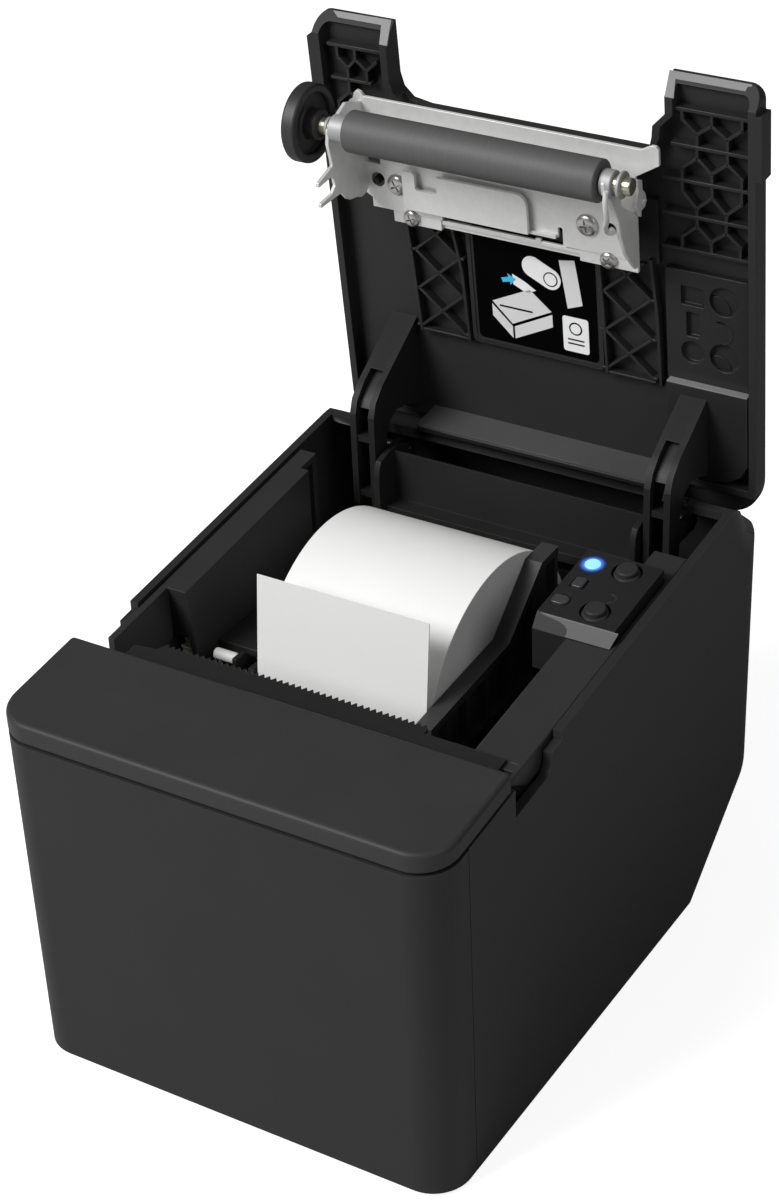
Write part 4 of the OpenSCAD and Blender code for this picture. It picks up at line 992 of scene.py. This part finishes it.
for node, body in (("feed_button", "feed_key"), ("power_button", "power_key")):
    at = middle(node)
    low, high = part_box(node)
    seat = min((high.x - low.x) / MM / 2, SEAT_RADIUS)
    key_solids = [(ring(at.x, at.y, CAP_RADIUS, 40), -1.5, CAP_RISE),
                  (ring(at.x, at.y, seat, 40), -2.0, SEAT_LEVEL)]
    cap = piece(node + "_cap", key_solids, on_panel, HOUSING, body, 0.4, 3)
    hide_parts(node)
    print(cap.name, "stands", CAP_RISE, "mm proud; seat radius", round(seat, 2))

# %% The two small lenses, their bed and the mark between them
small, wide = middle("paper_lens"), middle("error_lens")
small_outline = slab(small.x - 1.8, small.x + 1.8, small.y - 2.1, small.y + 2.1, 0.8)
paper_light = piece("paper_lens_cap", [(small_outline, *LENS_LEVELS)], on_panel, SMOKE, "housing", 0.25, 3)
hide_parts("paper_lens")
# Points 5 to 14 of a rounded rectangle are its two left-hand corners, of five points each.
square_end = slab(wide.x - 2.3, wide.x + 0.9, wide.y - 1.9, wide.y + 1.9, 0.8)[5:15]
round_end = ring(wide.x + 0.9, wide.y, 1.9, 10, -90, 180)
error_light = piece("error_lens_cap", [(square_end + round_end, *LENS_LEVELS)], on_panel, SMOKE, "housing",
                    0.25, 3)
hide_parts("error_lens")
bed_outline = slab(small.x - 4.6, small.x + 2.4, wide.y - 3.0, small.y + 3.2)
bed_piece = piece("lens_bed", [(bed_outline, -1.6, -0.35)], on_panel, INNER, "housing", 0.05, 1)
moon = ring(57.0, 17.2, 2.1, 14, -80, 180) + ring(57.0, 17.2, 1.75, 14, 100, -180)
crescent_mark = piece("panel_crescent", [(moon, 0.0, 0.16)], on_panel, HOUSING, "housing", 0.05, 1)
print(paper_light.name, error_light.name, bed_piece.name, crescent_mark.name)

# %% [markdown]
# ## Small pieces round the paper bay
#
# A lip closes the gap between the deck and the front cover, and a white pin on a dark post is what
# holds the lid when it is shut. The loose paper stands in the lid's way. A real sheet would fold;
# here the sheet only gets a mesh of its own.

# %% Lip of the deck behind the front cover
LIP_FRONT, LIP_BACK = -53.3, -50.2
lip_side = [(y, rim(y) - drop) for y, drop in ((LIP_FRONT, 1.05), (LIP_BACK, 1.05), (LIP_BACK, 2.8),
                                               (LIP_FRONT, 2.8))]
lip = piece("deck_lip", [(lip_side, 51.9, 66.0)], across, HOUSING, "housing", 0.2, 2)
print(lip.name)

# %% Latch pin on its post
LATCH_Y, LATCH_Z = -17.8, 95.4
rod_piece = piece("latch_rod", [(ring(LATCH_Y, LATCH_Z, 1.75, 28), -54.5, -46.6)], across, NYLON, "housing",
                  0.7, 4)
post = [(-20.0, 62.0), (-11.3, 62.0), (-11.3, 93.0), (LATCH_Y + 2.6, LATCH_Z + 1.6),
        (LATCH_Y - 2.6, LATCH_Z + 1.6), (-20.4, LATCH_Z)]
post_piece = piece("latch_post", [(post, -47.0, -45.4)], across, INNER, "housing", 0.4, 2)
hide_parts("latch_pin")
print(rod_piece.name, post_piece.name)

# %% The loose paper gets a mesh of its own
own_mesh(PARTS["dressed_paper_sheet"])

# %% [markdown]
# ## Camera
#
# The camera stands in front, to the right and above. Its place and lens were solved from the
# machine's own straight edges, so it is given by numbers and not by looking at a target. Its frame
# is built from three directions: towards the eye, to the right and down, turned a little about the
# line of sight.

# %% Camera
AZIMUTH = math.radians(30.01)
ELEVATION = math.radians(34.18)
ROLL_ANGLE = math.radians(-1.07)
EYE = Vector((329.71, -519.60, 496.52))
toward = Vector((math.sin(AZIMUTH) * math.cos(ELEVATION), -math.cos(AZIMUTH) * math.cos(ELEVATION),
                 math.sin(ELEVATION)))
right = (-toward).cross(Vector((0, 0, 1))).normalized()
down = (-toward).cross(right)
turned_right = right * math.cos(ROLL_ANGLE) - down * math.sin(ROLL_ANGLE)
turned_down = right * math.sin(ROLL_ANGLE) + down * math.cos(ROLL_ANGLE)
lens = bpy.data.cameras.new("studio_camera")
lens.sensor_width = 36.0
lens.lens = 76.03
lens.shift_x = -0.0882
lens.shift_y = 0.0967
lens.clip_start = 0.05
lens.clip_end = 20.0
camera = bpy.data.objects.new("studio_camera", lens)
bpy.context.scene.collection.objects.link(camera)
turn = Matrix((turned_right, -turned_down, toward)).transposed()
camera.matrix_world = Matrix.Translation(EYE * MM) @ turn.to_4x4()
bpy.context.scene.camera = camera
print("camera at", tuple(round(c, 3) for c in camera.location))

# %% [markdown]
# ## Lamps
#
# One large soft lamp in front on the left does most of the work, and a weak one on the right keeps
# the side from going black.

# %% Lamps
AIM = Vector((0, 0, 0.08))


def softbox(name, at, size, watts):
    """A square area lamp that looks at the middle of the machine."""
    lamp = bpy.data.lights.new(name, "AREA")
    lamp.shape = "RECTANGLE"
    lamp.size = size
    lamp.size_y = size
    lamp.energy = watts
    obj = bpy.data.objects.new(name, lamp)
    bpy.context.scene.collection.objects.link(obj)
    obj.location = at
    obj.rotation_euler = (AIM - Vector(at)).to_track_quat("-Z", "Y").to_euler()
    return obj


lamps = [softbox("key_softbox", (-0.66, -1.02, 1.16), 0.8, 28),
         softbox("right_fill", (1.20, -0.45, 1.00), 0.7, 3.5)]
print("lamps:", len(lamps))

# %% [markdown]
# ## Floor and surroundings
#
# The background is bright because it is white to rays that come straight from the camera, and not
# because more light falls on it: Light Path tells the kinds of ray apart. To all other rays the
# floor is a plain pale grey and the room a weak even light, so that neither washes out the casing.
# Mirrored rays are among those others here, so metal and lenses show the grey and not the white.

# %% Floor and surroundings
def backdrop_material(name, colour, white):
    """Its own colour for light that bounces, brighter where the camera sees it."""
    f = Finish(name, Roughness=0.9)
    path = f.tree.nodes.new("ShaderNodeLightPath")
    seen = Sock(f.tree, path.outputs["Is Camera Ray"])
    f.drive(Base_Color=f.mix(shade(colour, 0.97), shade(colour, 1), f.noise(40.0)),
            Emission_Color=f.mix((0, 0, 0, 1), (1, 1, 1, 1), seen))
    f.fixed("Emission Strength", white)
    return f.mat


sheet = bmesh.new()
bmesh.ops.create_grid(sheet, x_segments=1, y_segments=1, size=6.0)
floor = new_object("studio_floor", sheet)
floor.data.materials.append(backdrop_material("pale_floor", (0.62, 0.62, 0.62), 0.84))
print("floor:", floor.name)

# %% The room round it
ROOM_LIGHT, ROOM_SEEN = 0.13, 1.0
world = bpy.data.worlds.new("studio_world")
bpy.context.scene.world = world
world.use_nodes = True
tree = world.node_tree
tree.nodes.clear()
path = tree.nodes.new("ShaderNodeLightPath")
grounds = []
for strength in (ROOM_LIGHT, ROOM_SEEN):
    ground = tree.nodes.new("ShaderNodeBackground")
    ground.inputs["Color"].default_value = (1, 1, 1, 1)
    ground.inputs["Strength"].default_value = strength
    grounds.append(ground)
choose = tree.nodes.new("ShaderNodeMixShader")
out = tree.nodes.new("ShaderNodeOutputWorld")
tree.links.new(path.outputs["Is Camera Ray"], choose.inputs[0])
tree.links.new(grounds[0].outputs[0], choose.inputs[1])
tree.links.new(grounds[1].outputs[0], choose.inputs[2])
tree.links.new(choose.outputs[0], out.inputs["Surface"])
bpy.context.scene.view_settings.view_transform = "Standard"
print("world:", world.name)
